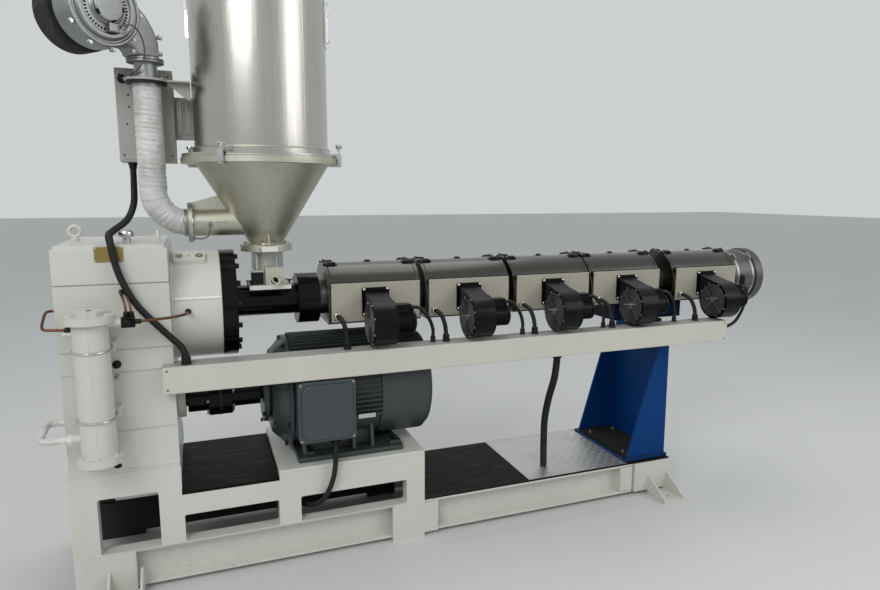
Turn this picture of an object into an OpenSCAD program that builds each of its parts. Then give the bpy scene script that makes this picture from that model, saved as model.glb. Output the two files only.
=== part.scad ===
/* [Base frame] */
// Width of the welded base, front to back
base_w = 530; // [480:5:620]
// Height of the pads and anchor plates below the beams
pad_h = 20; // [10:1:40]
// Height of the long channel beams
beam_h = 150; // [120:5:200]
// Depth of the welded side frames, seen in the window reveals
side_d = 60; // [40:5:90]
// Plate thickness of the base
plate_t = 12; // [8:1:20]
// Height of the gearbox seat above the floor
seat_z = 503; // [440:1:560]
// Height of the plate between gearbox and motor
deck_z = 380; // [340:5:400]
// Height of the motor plinth above the floor
plinth_z = 410; // [400:5:430]
// Length of the gap between gearbox and motor plinth
deck_l = 370; // [330:5:420]
// Length of the motor plinth
plinth_l = 626; // [560:2:700]
// Length of the cross beam at the discharge end
end_beam_l = 226; // [180:2:300]
// Depth of an anchor bracket in front of the frame
anchor_d = 130; // [90:5:180]
// Radius of an anchor hole
anchor_r = 11; // [7:1:14]

/* [Gearbox] */
// Length of the gearbox along the screw
gearbox_l = 375; // [330:5:450]
// Height of the gearbox top above the floor
gearbox_top = 1340; // [1300:5:1400]
// Height of the joint below the gearbox's top cover
cover_seam_z = 1199; // [1150:1:1250]
// Height of the screw axis above the floor
axis_z = 1075; // [1050:5:1100]
// Radius of the thrust bearing housing
thrust_r = 217; // [190:1:240]
// Length of the thrust bearing housing
thrust_l = 185; // [150:5:240]

/* [Barrel] */
// Thickness of the black barrel flange
flange_t = 58; // [40:2:90]
// Radius of the feed section
feed_r = 65; // [55:1:80]
// Radius of the feed section's collar
collar_r = 108; // [90:1:125]
// Radius of the barrel tube
barrel_r = 75; // [60:1:85]
// Radius of the screw bore
bore_r = 37.5; // [30:0.5:45]
// Radius of the round zone covers
zone_r = 150; // [130:1:170]
// Length of one zone cover
zone_l = 410; // [380:2:414]
// Length of a zone's side panel
panel_l = 390; // [340:2:406]
// Length of the heated band and flange at the discharge end
end_l = 185; // [150:5:260]

/* [Blowers] */
// Radius of a blower's drum
drum_r = 92; // [80:1:98]
// Width of a blower's drum
drum_w = 98; // [80:1:110]
// Radius of a blower's motor
fan_motor_r = 48; // [36:1:56]

/* [Hopper] */
// Distance of the feed throat from the gearbox
hopper_x = 380; // [360:1:400]
// Radius of the hopper's cylinder
hopper_r = 265; // [240:1:270]
// Height of the hopper's cylinder
hopper_h = 800; // [600:10:950]
// Height of the hopper's cone
cone_h = 326; // [300:2:360]
// Radius of the hopper's clamped rings
ring_r = 320; // [300:1:340]
// Radius of the hot air hose
hose_r = 53; // [40:1:60]

/* [Drive motor] */
// Radius of the motor's frame over the fins
motor_r = 250; // [225:1:252]
// Height of the motor's shaft above its plinth
shaft_h = 260; // [258:1:280]
// Radius of the motor's fan cowl
cowl_r = 236; // [205:1:240]

/* [Cable tray] */
// Depth of the cable tray, front to back
tray_d = 96; // [80:1:98]
// Height of the cable tray
tray_h = 102; // [80:1:104]
// Reach of the tray past the start of the last zone
tray_reach = 210; // [100:5:360]

/* [Hidden] */
$fn = 64;

paint = [0.72, 0.72, 0.68];
dark_steel = [0.17, 0.16, 0.16];
black = [0.05, 0.05, 0.06];
stainless = [0.55, 0.53, 0.5];
panel_tone = [0.66, 0.64, 0.6];
motor_tone = [0.22, 0.26, 0.29];
blue = [0.02, 0.2, 0.42];
copper = [0.5, 0.25, 0.17];

// Running clearance between curved faces that meet
fit = 0.3;
// Overlap of a cutting tool past the face it cuts
over = 1;

front_y = -base_w / 2;
back_y = base_w / 2;
beam_top = pad_h + beam_h;
base_left_x = -gearbox_l - 10;
plinth_x = deck_l;
plinth_end_x = deck_l + plinth_l;
leg_t = 8;
left_leg_end_x = base_left_x + 208;
right_leg_x = plinth_end_x - 147;
right_leg_end_x = plinth_end_x + 65;
window_sill = beam_top + 4;
corner_r = 9;
gearbox_window = [82 - gearbox_l, -83];
deck_window = [5, deck_l - 4];
plinth_window = [plinth_x + 84, plinth_end_x - 83];
low_window_top = 284;
tall_window_top = 396;

flange_x = thrust_l + fit;
feed_x = flange_x + flange_t;
collar_x = 495;
collar_end_x = 585;
zone_gap = 25;
zone_1_x = collar_end_x + zone_gap;
zone_4_x = zone_1_x + 3 * zone_l + 2 * zone_gap + 10;
zone_x = [zone_1_x, zone_1_x + zone_l + zone_gap, zone_1_x + 2 * (zone_l + zone_gap), zone_4_x,
    zone_4_x + zone_l + 90];
zone_drop = 100;
zone_side = zone_r - 10;
panel_t = 10;
panel_low = axis_z - 90;
panel_high = axis_z + 75;
panel_y = -zone_side - panel_t;
end_band_x = zone_x[4] + zone_l + 15;
barrel_end_x = end_band_x + end_l;
end_flange_t = 45;

drum_y = -275;
drum_z = axis_z - 80;
drum_shift = -60;
fan_motor_l = 96;
flange_shift = -6;
fan_box_x = zone_l / 2 + drum_shift + drum_w + 10;
fan_box_l = 62;
fan_gland_l = 16;
fan_gland_x = fan_box_x + fan_box_l + fan_gland_l;
fan_gland_z = drum_z + 58;
tray_y = front_y - 53;
tray_z = 790;
tray_top = tray_z + tray_h;
tray_lap = 40;
tray_end_x = zone_x[4] + tray_reach;

seat_t = 12;
seat_top = axis_z + feed_r + seat_t;
sight_h = 135;
base_flange_z = seat_top + sight_h;
base_flange_t = 27;
base_flange_r = 106;
throat_r = 60;
cone_z = base_flange_z + base_flange_t;
ring_z = cone_z + cone_h;
ring_t = 22;
band_h = 38;
shell_t = 4;
cylinder_z = ring_z + ring_t;
cylinder_top = cylinder_z + hopper_h;
gate_w = 78;
gate_t = 6;
gate_z = base_flange_z + 10;
gate_slack = 0.5;
inlet_z = 1406;
hose_x = -45;
hose_bend_r = 126;
hose_flange_x = hose_x + hose_bend_r;
hose_top_z = 1945;
blower_z = 2170;
blower_turn = 38;
volute_r = 136;
outlet_off = 180;
casing_w = 110;
filter_gap = 20;
filter_r = 138;
filter_l = 95;

motor_z = plinth_z + shaft_h;
bell_x = plinth_x - 35;
frame_x = bell_x + 105;
cowl_x = frame_x + 375;
cowl_end_x = cowl_x + 235;
foot_t = 22;
shaft_r = 30;
lead_box_z = motor_z - 143;
lead_box = [frame_x + 5, -motor_r - 70, lead_box_z];
lead_box_size = [237, 120, 256];
column_x = zone_x[4] - 294;
column_end_x = column_x + 232;
column_y = base_w / 2 - 40;
low_end_x = column_x + 14;
end_beam_x = low_end_x + 10;
base_end_x = end_beam_x + end_beam_l;
cooler_x = 120 - gearbox_l;
cooler_y = front_y - 97;
cooler_r = 58;
cooler_z = 610;
cooler_top = 1115;
cooler_cap_r = 80;
port_z = cooler_top - 35;
water_z = cooler_z + 66;

// The origin lies on the floor under the middle of the whole machine
water_x = -gearbox_l - 62;
water_r = 13;
left_reach_x = water_x - water_r;
right_reach_x = barrel_end_x;
front_reach_y = cooler_y - cooler_cap_r;
back_reach_y = back_y + anchor_d;
mid_x = (left_reach_x + right_reach_x) / 2;
mid_y = (front_reach_y + back_reach_y) / 2;

module placed() {
    translate([-mid_x, -mid_y, 0]) children();
}

// A block between two corners
module slab(low, high) {
    translate(low) cube(high - low);
}

// A cylinder along X, Y or Z that starts at a point
module x_rod(start, length, radius) {
    translate(start) rotate([0, 90, 0]) cylinder(r = radius, h = length);
}
module y_rod(start, length, radius) {
    translate(start) rotate([-90, 0, 0]) cylinder(r = radius, h = length);
}
module z_rod(start, length, radius) {
    translate(start) cylinder(r = radius, h = length);
}

// An outline in Y and Z, carried along X
module along_x(start_x, length) {
    translate([start_x, 0, 0]) rotate([90, 0, 90]) linear_extrude(length) children();
}

// An outline in X and Z, carried along Y
module along_y(start_y, length) {
    translate([0, start_y + length, 0]) rotate([90, 0, 0]) linear_extrude(length) children();
}

function unit(v) = v / norm(v);

// A smooth curve through chosen points, with steps pieces between two of them
function smooth_at(p, i, t) =
    let (a = p[max(i - 1, 0)], b = p[i], c = p[i + 1], d = p[min(i + 2, len(p) - 1)])
    0.5 * (2 * b + (c - a) * t + (2 * a - 5 * b + 4 * c - d) * t * t
        + (3 * b - a - 3 * c + d) * t * t * t);
function smooth(p, steps) = concat(
    [for (i = [0 : len(p) - 2]) for (k = [0 : steps - 1]) smooth_at(p, i, k / steps)],
    [p[len(p) - 1]]);

// A smooth route that leaves its first point and meets its last one in a straight line
function led(p, steps) = concat([p[0]], smooth([for (i = [1 : len(p) - 2]) p[i]], steps),
    [p[len(p) - 1]]);

// A round tube swept along a route whose direction never lies along side
module swept(route, radius, side, sides = 10) {
    n = len(route);
    points = [for (i = [0 : n - 1])
        let (t = unit(route[min(i + 1, n - 1)] - route[max(i - 1, 0)]))
        let (u = unit(cross(t, side)))
        let (v = cross(t, u))
        for (k = [0 : sides - 1])
            route[i] + radius * (cos(360 * k / sides) * u + sin(360 * k / sides) * v)];
    walls = [for (i = [0 : n - 2]) for (k = [0 : sides - 1])
        let (next = (k + 1) % sides)
        [i * sides + k, (i + 1) * sides + k, (i + 1) * sides + next, i * sides + next]];
    start_cap = [[for (k = [0 : sides - 1]) k]];
    end_cap = [[for (k = [sides - 1 : -1 : 0]) (n - 1) * sides + k]];
    polyhedron(points = points, faces = concat(walls, start_cap, end_cap));
}

// A window with rounded corners, as an outline in X and Z
module window_outline(x, low, high) {
    for (cx = [x[0] + corner_r, x[1] - corner_r]) {
        for (cz = [low + corner_r, high - corner_r]) {
            translate([cx, cz]) circle(r = corner_r, $fn = 24);
        }
    }
    translate([x[0] + corner_r, low]) square([x[1] - x[0] - 2 * corner_r, high - low]);
    translate([x[0], low + corner_r]) square([x[1] - x[0], high - low - 2 * corner_r]);
}

// One welded side of the base: upper beam, posts and the leg plates over the channel
module side_frame() {
    along_y(front_y, side_d) {
        difference() {
            polygon([[base_left_x, beam_top], [plinth_end_x, beam_top],
                [plinth_end_x, plinth_z - plate_t], [plinth_x, plinth_z - plate_t],
                [plinth_x, deck_z - plate_t], [0, deck_z - plate_t],
                [0, seat_z - plate_t], [base_left_x, seat_z - plate_t]]);
            window_outline(gearbox_window, window_sill, tall_window_top);
            window_outline(deck_window, window_sill, low_window_top);
            window_outline(plinth_window, window_sill, low_window_top);
        }
    }
    slab([base_left_x, front_y, 0], [left_leg_end_x, front_y + leg_t, beam_top + over]);
    slab([right_leg_x, front_y, 0], [plinth_end_x, front_y + leg_t, beam_top + over]);
    slab([plinth_end_x - over, front_y, pad_h], [right_leg_end_x, front_y + leg_t, beam_top - 10]);
}

module front_side_frame() {
    color(paint) placed() side_frame();
}

module back_side_frame() {
    color(paint) placed() mirror([0, 1, 0]) side_frame();
}

// A long channel beam, open towards the outside of the base
module channel_beam() {
    lip_y = front_y + leg_t;
    web_y = lip_y + 50;
    along_x(base_left_x, low_end_x - base_left_x) {
        polygon([[lip_y, pad_h], [web_y + 8, pad_h], [web_y + 8, beam_top], [lip_y, beam_top],
            [lip_y, beam_top - 10], [web_y, beam_top - 14], [web_y, pad_h + 14], [lip_y, pad_h + 10]]);
    }
    slab([base_left_x, lip_y, 0], [left_leg_end_x, web_y + 8, pad_h + over]);
    slab([right_leg_x, lip_y, 0], [plinth_end_x, web_y + 8, pad_h + over]);
    slab([low_end_x - 70, lip_y, pad_h + 13], [low_end_x, web_y + over, beam_top - 13]);
}

module front_channel() {
    color(paint) placed() channel_beam();
}

module back_channel() {
    color(paint) placed() mirror([0, 1, 0]) channel_beam();
}

// Seat under the gearbox, the risers and the motor plinth between the side frames
module base_plates() {
    inner = base_w / 2 - side_d;
    seat_low = seat_z - plate_t;
    plinth_low = plinth_z - plate_t;
    color(paint) placed() {
        slab([base_left_x, front_y, seat_low], [0, back_y, seat_z]);
        slab([base_left_x, -inner, beam_top], [base_left_x + plate_t, inner, seat_low + over]);
        slab([-plate_t, -inner, beam_top], [0, inner, seat_low + over]);
        slab([plinth_x, front_y, plinth_low], [plinth_end_x, back_y, plinth_z]);
        slab([plinth_x, -inner, beam_top], [plinth_x + plate_t, inner, plinth_low + over]);
        slab([plinth_end_x - plate_t, -inner, beam_top], [plinth_end_x, inner, plinth_low + over]);
    }
}

// The dark plate under the coupling and the plate on the low frame
module deck_plates() {
    color(dark_steel) placed() {
        slab([0, front_y, deck_z - plate_t], [plinth_x, back_y, deck_z]);
        slab([plinth_end_x, front_y + leg_t, beam_top], [base_end_x - 10, back_y - leg_t, beam_top + 6]);
    }
}

module end_beam() {
    color(paint) placed() {
        slab([end_beam_x, front_y, pad_h], [base_end_x, back_y, beam_top]);
        slab([low_end_x, front_y + 20, pad_h], [end_beam_x + over, back_y - 20, beam_top]);
    }
}

// An anchor bracket: a foot plate with a hole between two gussets
module anchor_bracket(x) {
    width = 124;
    gusset_t = 10;
    foot_t = 14;
    difference() {
        slab([x, front_y - anchor_d, 0], [x + width, front_y, foot_t]);
        z_rod([x + width / 2, front_y - anchor_d / 2 - 10, -over], foot_t + 2 * over, anchor_r);
    }
    for (gx = [x, x + width - gusset_t]) {
        along_x(gx, gusset_t) {
            polygon([[front_y, foot_t], [front_y - anchor_d, foot_t], [front_y - anchor_d, foot_t + 10],
                [front_y, 100]]);
        }
    }
}

anchor_x = [base_left_x + 108, base_end_x - 142];

module anchor_feet() {
    color(paint) placed() {
        for (x = anchor_x) {
            anchor_bracket(x);
            mirror([0, 1, 0]) anchor_bracket(x);
        }
    }
}

// Gearbox casing with its weld seams, the seal housing of the input shaft and its bore
module gearbox_case() {
    seam = 3;
    bearing_l = 28;
    color(paint) placed() difference() {
        union() {
            slab([-gearbox_l, front_y, seat_z], [0, back_y, cover_seam_z]);
            x_rod([0, 0, motor_z], bearing_l, 72);
        }
        for (z = [654, 877, 961]) {
            difference() {
                slab([-gearbox_l - over, front_y - over, z - seam], [over, back_y + over, z + seam]);
                slab([-gearbox_l + seam, front_y + seam, z - 2 * seam],
                    [-seam, back_y - seam, z + 2 * seam]);
            }
        }
        x_rod([-20, 0, motor_z], bearing_l + 20 + over, shaft_r + fit);
    }
}

module gearbox_cover() {
    lid_t = 12;
    lid_in = 9;
    color(paint) placed() {
        slab([-gearbox_l, front_y, cover_seam_z + 4], [0, back_y, gearbox_top - lid_t]);
        slab([-gearbox_l + 5, front_y + 5, cover_seam_z], [-5, back_y - 5, cover_seam_z + 4]);
        slab([-gearbox_l + lid_in, front_y + lid_in, gearbox_top - lid_t],
            [-lid_in, back_y - lid_in, gearbox_top]);
    }
}

// Breather, dipstick and oil sight valve
module gearbox_fittings() {
    color("silver") placed() {
        z_rod([-140, -150, gearbox_top], 22, 13);
        z_rod([-140, -150, gearbox_top + 22], 26, 26);
        z_rod([-36, -85, gearbox_top], 45, 9);
        y_rod([-191, front_y - 22, 908], 22, 13);
    }
}

// Thrust bearing housing with its lifting plate
module thrust_housing() {
    plate_tilt = 27;
    plate_l = 118;
    plate_w = 74;
    plate_corner = 16;
    hole_x = [22, plate_l - 22];
    color(paint) placed() {
        x_rod([0, 0, axis_z], thrust_l, thrust_r);
        translate([14, 0, axis_z]) rotate([plate_tilt, 0, 0]) difference() {
            union() {
                for (x = [plate_corner, plate_l - plate_corner]) {
                    for (y = [plate_corner - plate_w / 2, plate_w / 2 - plate_corner]) {
                        z_rod([x, y, thrust_r - 12], 26, plate_corner);
                    }
                }
                slab([plate_corner, -plate_w / 2, thrust_r - 12],
                    [plate_l - plate_corner, plate_w / 2, thrust_r + 14]);
                slab([0, plate_corner - plate_w / 2, thrust_r - 12],
                    [plate_l, plate_w / 2 - plate_corner, thrust_r + 14]);
            }
            for (x = hole_x) {
                z_rod([x, 0, thrust_r], 14 + over, 8);
            }
        }
    }
}

// Black barrel flange, feed section and collar with the screw bore behind them
module feed_section() {
    saddle_l = 170;
    saddle_y = 50;
    color(black) placed() {
        x_rod([flange_x, 0, axis_z], flange_t, thrust_r + 3);
        x_rod([feed_x, 0, axis_z], collar_x - feed_x, feed_r);
        x_rod([collar_x, 0, axis_z], collar_end_x - collar_x, collar_r);
        slab([hopper_x - saddle_l / 2, -saddle_y, axis_z],
            [hopper_x + saddle_l / 2, saddle_y, axis_z + feed_r]);
    }
}

// Seat plate on the feed section with the cast magnet body in front of the sight box
module feed_seat() {
    low = seat_top - seat_t;
    color([0.8, 0.77, 0.7]) placed() difference() {
        union() {
            slab([hopper_x - 84, -70, low], [hopper_x + 90, 70, seat_top]);
            slab([hopper_x - 20, -115, seat_top], [hopper_x + 56, -62, seat_top + 72]);
            slab([hopper_x - 72, -106, seat_top], [hopper_x - 24, -62, seat_top + 58]);
            slab([hopper_x - 72, -118, seat_top - 3], [hopper_x + 56, -70, seat_top]);
            y_rod([hopper_x + 20, -150, seat_top + 28], 36, 20);
        }
        y_rod([hopper_x + 20, -150 - over, seat_top + 28], 44, 14);
        slab([hopper_x - 50, -45, low - over], [hopper_x + 50, 45, seat_top + over]);
    }
}

// Clear box between seat plate and hopper, open at both ends
module sight_box() {
    wall = 6;
    half_x = 62;
    half_y = 56;
    color([0.85, 0.88, 0.88]) placed() difference() {
        slab([hopper_x - half_x, -half_y, seat_top], [hopper_x + half_x, half_y, base_flange_z]);
        slab([hopper_x - half_x + wall, -half_y + wall, seat_top - over],
            [hopper_x + half_x - wall, half_y - wall, base_flange_z + over]);
    }
}

// Flange under the hopper with the slot that the gate slides in
module hopper_base() {
    color(stainless) placed() difference() {
        z_rod([hopper_x, 0, base_flange_z], base_flange_t, base_flange_r);
        z_rod([hopper_x, 0, base_flange_z - over], base_flange_t + 2 * over, 45);
        slab([hopper_x - gate_w / 2 - gate_slack, -base_flange_r - over, gate_z - gate_slack],
            [hopper_x + gate_w / 2 + gate_slack, 60, gate_z + gate_t + gate_slack]);
    }
}

module hopper_gate() {
    color("silver") placed() {
        slab([hopper_x - gate_w / 2, -128, gate_z], [hopper_x + gate_w / 2, 55, gate_z + gate_t]);
        slab([hopper_x - gate_w / 2, -134, gate_z - 8], [hopper_x + gate_w / 2, -128, gate_z + gate_t]);
    }
}

// Hollow cone with its clamp ring and the hot air inlet
module hopper_cone() {
    low_r = 66;
    stub_r = 54;
    color(stainless) placed() {
        translate([hopper_x, 0, cone_z]) rotate_extrude() {
            polygon([[low_r - shell_t, 0], [low_r, 0], [hopper_r, cone_h], [ring_r, cone_h],
                [ring_r, cone_h + ring_t], [hopper_r - shell_t, cone_h + ring_t],
                [hopper_r - shell_t, cone_h]]);
        }
        difference() {
            union() {
                x_rod([hose_flange_x, 0, inlet_z], 210, stub_r);
                x_rod([hose_flange_x, 0, inlet_z], 12, stub_r + 27);
            }
            translate([hopper_x, 0, cone_z]) cylinder(r1 = low_r - 1, r2 = hopper_r - 1, h = cone_h);
            x_rod([hose_flange_x - over, 0, inlet_z], 210, stub_r - 5);
        }
    }
}

module hopper_cylinder() {
    color(stainless) placed() translate([hopper_x, 0, cylinder_z]) rotate_extrude() {
        polygon([[hopper_r - shell_t, 0], [ring_r - 5, 0], [ring_r - 5, 14], [hopper_r + 10, 14],
            [hopper_r + 10, band_h], [hopper_r, band_h], [hopper_r, hopper_h],
            [hopper_r - shell_t, hopper_h]]);
    }
}

module hopper_lid() {
    rim = 6;
    dome_h = 70;
    neck_r = 75;
    color(stainless) placed() {
        translate([hopper_x, 0, cylinder_top]) rotate_extrude() {
            polygon([[0, 0], [hopper_r + rim, 0], [hopper_r + rim, 26], [neck_r, dome_h],
                [neck_r, dome_h + 60], [neck_r + 25, dome_h + 60], [neck_r + 25, dome_h + 72],
                [0, dome_h + 72]]);
        }
    }
}

// Insulated hose from the blower down and round into the hopper's inlet
module dryer_hose() {
    color([0.8, 0.8, 0.78]) placed() {
        z_rod([hose_x, 0, inlet_z + hose_bend_r], hose_top_z - inlet_z - hose_bend_r, hose_r);
        translate([hose_flange_x, 0, inlet_z + hose_bend_r]) rotate([90, 0, 0])
            rotate_extrude(angle = 90, start = 180) translate([hose_bend_r, 0]) circle(r = hose_r);
    }
}

// Blower with its outlet pipe on the hose axis, turned about that axis
module dryer_blower() {
    plate_t = 8;
    neck_r = 42;
    duct_low = hose_top_z + plate_t + 76;
    duct_side = [-68, 36];
    color(paint) placed() {
        z_rod([hose_x, 0, hose_top_z], plate_t, 80);
        slab([hose_x + 60, -35, hose_top_z], [hopper_x - hopper_r - fit, 35, hose_top_z + plate_t]);
        z_rod([hose_x, 0, hose_top_z + plate_t], 60, neck_r);
        z_rod([hose_x, 0, hose_top_z + plate_t + 60], 16, 68);
        translate([hose_x, 0, 0]) rotate([0, 0, blower_turn]) {
            along_y(8 - casing_w / 2, casing_w - 16) {
                polygon([[duct_side[0], duct_low], [duct_side[1], duct_low], [duct_side[1], blower_z - 70],
                    [volute_r - outlet_off - 8, blower_z + 42], [-outlet_off, blower_z],
                    [duct_side[0] - 24, blower_z - 92]]);
            }
            y_rod([-outlet_off, -casing_w / 2, blower_z], casing_w, volute_r);
            y_rod([-outlet_off, -casing_w / 2 - 12, blower_z], 12 + over, 110);
            y_rod([-outlet_off, -casing_w / 2 - 26, blower_z], 26, 57);
            y_rod([-outlet_off, casing_w / 2 - over, blower_z], filter_gap + over - fit, 84);
        }
    }
}

module dryer_filter() {
    color(black) placed() translate([hose_x, 0, 0]) rotate([0, 0, blower_turn]) {
        y_rod([-outlet_off, filter_gap + casing_w / 2, blower_z], filter_l, filter_r);
    }
}

// Switch box on its bracket beside the hopper
box_low = [hose_x - 118, 81, 1645];
box_size = [210, 114, 361];

module control_box() {
    arm_y = 128;
    arm_end_x = hopper_x - sqrt(hopper_r * hopper_r - arm_y * arm_y) - fit;
    color(paint) placed() {
        slab(box_low, box_low + box_size);
        slab([box_low[0] + box_size[0] - over, arm_y, box_low[2] + 95],
            [arm_end_x, arm_y + 10, box_low[2] + 265]);
    }
}

// Oil cooler on its two saddles in front of the gearbox
module oil_cooler() {
    color(paint) placed() {
        z_rod([cooler_x, cooler_y, cooler_z], cooler_top - cooler_z - 30, cooler_r);
        z_rod([cooler_x, cooler_y, cooler_z - 28], 28, 74);
        z_rod([cooler_x, cooler_y, cooler_z - 44], 16, 50);
        z_rod([cooler_x, cooler_y, cooler_top - 30], 26, cooler_cap_r);
        z_rod([cooler_x, cooler_y, cooler_top - 4], 16, 56, $fn = 6);
        for (z = [cooler_z + 115, cooler_z + 360]) {
            slab([cooler_x - 70, front_y - 55, z], [cooler_x + 70, front_y, z + 34]);
        }
        x_rod([cooler_x, cooler_y, port_z], 98, 15);
        x_rod([cooler_x - 84, cooler_y, port_z - 32], 84, 10);
        x_rod([cooler_x - 96, cooler_y, water_z], 96, 17);
    }
}

// Copper oil pipes between cooler, gearbox and thrust housing
pipe_r = 5;
oil_block_x = cooler_x + 98 + fit;
oil_block_w = 44;
oil_x = oil_block_x + oil_block_w;
oil_y = cooler_y;
feed_route = [[oil_x, oil_y, port_z], [oil_x + 16, oil_y, port_z], [-60, oil_y + 2, port_z + 2],
    [0, oil_y + 12, port_z + 4], [42, oil_y + 50, port_z + 4], [58, oil_y + 92, port_z + 2],
    [60, 2 - thrust_r - 30, axis_z + 5], [60, -thrust_r - fit, axis_z + 5]];
rise_x = oil_block_x + 17;
rise_route = [[rise_x, oil_y, port_z + 18], [rise_x, oil_y, port_z + 32], [rise_x - 2, oil_y + 4, port_z + 58],
    [rise_x - 10, oil_y + 22, port_z + 82], [rise_x - 18, oil_y + 52, port_z + 92],
    [rise_x - 18, front_y - 18, port_z + 94], [rise_x - 18, front_y, port_z + 94]];
left_x = -gearbox_l;
return_route = [[cooler_x - cooler_r - fit, oil_y, port_z - 16], [left_x + 38, oil_y, port_z - 16],
    [left_x + 12, oil_y, port_z - 14], [left_x - 17, oil_y + 4, port_z - 12],
    [left_x - 26, oil_y + 22, port_z - 2], [left_x - 26, oil_y + 60, port_z + 20],
    [left_x - 26, front_y - 4, port_z + 30], [left_x - 22, front_y + 18, port_z + 32],
    [left_x - 12, front_y + 25, port_z + 32], [left_x - fit, front_y + 25, port_z + 32]];

module oil_pipes() {
    color(copper) placed() {
        slab([oil_block_x, oil_y - 18, port_z - 18], [oil_x, oil_y + 18, port_z + 18]);
        swept(led(feed_route, 4), pipe_r, [0, 0, 1], 8);
        swept(led(rise_route, 4), pipe_r, [1, 0, 0], 8);
        swept(led(return_route, 4), pipe_r, [0, 0, 1], 8);
    }
}

// Water pipe from the cooler back to the gearbox's left side
water_back_y = front_y + 45;
water_route = [[cooler_x - 96 - fit, oil_y, water_z], [left_x - 10, oil_y, water_z],
    [left_x - 42, oil_y, water_z + 1], [left_x - 58, oil_y + 10, water_z + 3],
    [water_x, oil_y + 32, water_z + 6], [water_x, oil_y + 92, water_z + 14],
    [left_x - 60, water_back_y - 16, water_z + 18], [left_x - 46, water_back_y - 2, water_z + 20],
    [left_x - 24, water_back_y, water_z + 20], [left_x - fit, water_back_y, water_z + 20]];

module water_pipe() {
    color("white") placed() swept(led(water_route, 3), water_r, [0, 0, 1], 10);
}

module barrel_tube() {
    color(dark_steel) placed() difference() {
        x_rod([collar_end_x, 0, axis_z], barrel_end_x - end_flange_t - collar_end_x, barrel_r);
        x_rod([barrel_end_x - 400, 0, axis_z], 400, bore_r);
    }
}

// One heated zone: round cover over a straight-sided body, bored for the barrel
module heater_zone(x) {
    color(stainless) placed() along_x(x, zone_l) difference() {
        union() {
            intersection() {
                translate([0, axis_z]) circle(r = zone_r);
                translate([-zone_r, axis_z - zone_drop]) square([2 * zone_r, zone_r + zone_drop + over]);
            }
            translate([-zone_side, axis_z - zone_drop]) square([2 * zone_side, zone_drop + 70]);
        }
        translate([0, axis_z]) circle(r = barrel_r + fit);
    }
}

module heater_zone_1() heater_zone(zone_x[0]);
module heater_zone_2() heater_zone(zone_x[1]);
module heater_zone_3() heater_zone(zone_x[2]);
module heater_zone_4() heater_zone(zone_x[3]);
module heater_zone_5() heater_zone(zone_x[4]);

// Side panels that stand proud of the zone covers, front and back
module side_panels() {
    inset = (zone_l - panel_l) / 2;
    color(panel_tone) placed() {
        for (x = zone_x) {
            for (side = [0, 1]) {
                mirror([0, side, 0])
                    slab([x + inset, -zone_r - panel_t, panel_low], [x + inset + panel_l, -zone_r, panel_high]);
            }
        }
    }
}

// Cooling blower of a zone: flange, scroll that runs tangent into the drum, motor and terminal box
module zone_blower(x) {
    mid = x + zone_l / 2;
    drum_x = mid + drum_shift;
    face_y = -zone_r - panel_t;
    flange_w = 120;
    flange_d = 6;
    mouth = [face_y - flange_d, axis_z + 50];
    reach = mouth - [drum_y, drum_z];
    touch = atan2(reach[1], reach[0]) + acos(drum_r / norm(reach));
    color(black) placed() {
        slab([mid + flange_shift - flange_w / 2, face_y - flange_d, axis_z - 70],
            [mid + flange_shift + flange_w / 2, face_y, axis_z + 54]);
        along_x(drum_x, drum_w) {
            translate([drum_y, drum_z]) circle(r = drum_r);
            polygon([mouth, [mouth[0], axis_z - 62], [drum_y, drum_z - drum_r / 2],
                [drum_y + drum_r * cos(touch), drum_z + drum_r * sin(touch)]]);
        }
        x_rod([drum_x + drum_w, drum_y, drum_z], fan_motor_l, fan_motor_r);
        slab([x + fan_box_x, drum_y - 24, drum_z + 30],
            [x + fan_box_x + fan_box_l, drum_y + 24, drum_z + fan_motor_r + 28]);
        x_rod([x + fan_box_x + fan_box_l - over, drum_y, fan_gland_z], fan_gland_l + over, 10);
    }
}

module zone_blower_1() zone_blower(zone_x[0]);
module zone_blower_2() zone_blower(zone_x[1]);
module zone_blower_3() zone_blower(zone_x[2]);
module zone_blower_4() zone_blower(zone_x[3]);
module zone_blower_5() zone_blower(zone_x[4]);

// Heater band and bolted flange at the discharge end
module barrel_end() {
    bolt_circle_r = 115;
    bolt_hole_r = 9;
    color(stainless) placed() {
        difference() {
            x_rod([end_band_x, 0, axis_z], barrel_end_x - end_flange_t - end_band_x, 140);
            x_rod([end_band_x - over, 0, axis_z], barrel_end_x - end_band_x, barrel_r + fit);
        }
        difference() {
            x_rod([barrel_end_x - end_flange_t, 0, axis_z], end_flange_t, zone_r);
            x_rod([barrel_end_x - end_flange_t - over, 0, axis_z], end_flange_t + 2 * over, bore_r);
            for (i = [0 : 11]) {
                rotate_about_axis(30 * i)
                    x_rod([barrel_end_x - end_flange_t - over, 0, axis_z + bolt_circle_r],
                        end_flange_t + 2 * over, bolt_hole_r);
            }
        }
    }
}

module rotate_about_axis(angle) {
    translate([0, 0, axis_z]) rotate([angle, 0, 0]) translate([0, 0, -axis_z]) children();
}

// Closed cable duct, lapped over the gearbox's front face
module cable_tray() {
    color(paint) placed() {
        slab([fit, tray_y, tray_z], [tray_end_x, tray_y + tray_d, tray_top]);
        slab([-tray_lap, tray_y, tray_z], [fit, front_y, tray_top]);
    }
}

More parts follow.
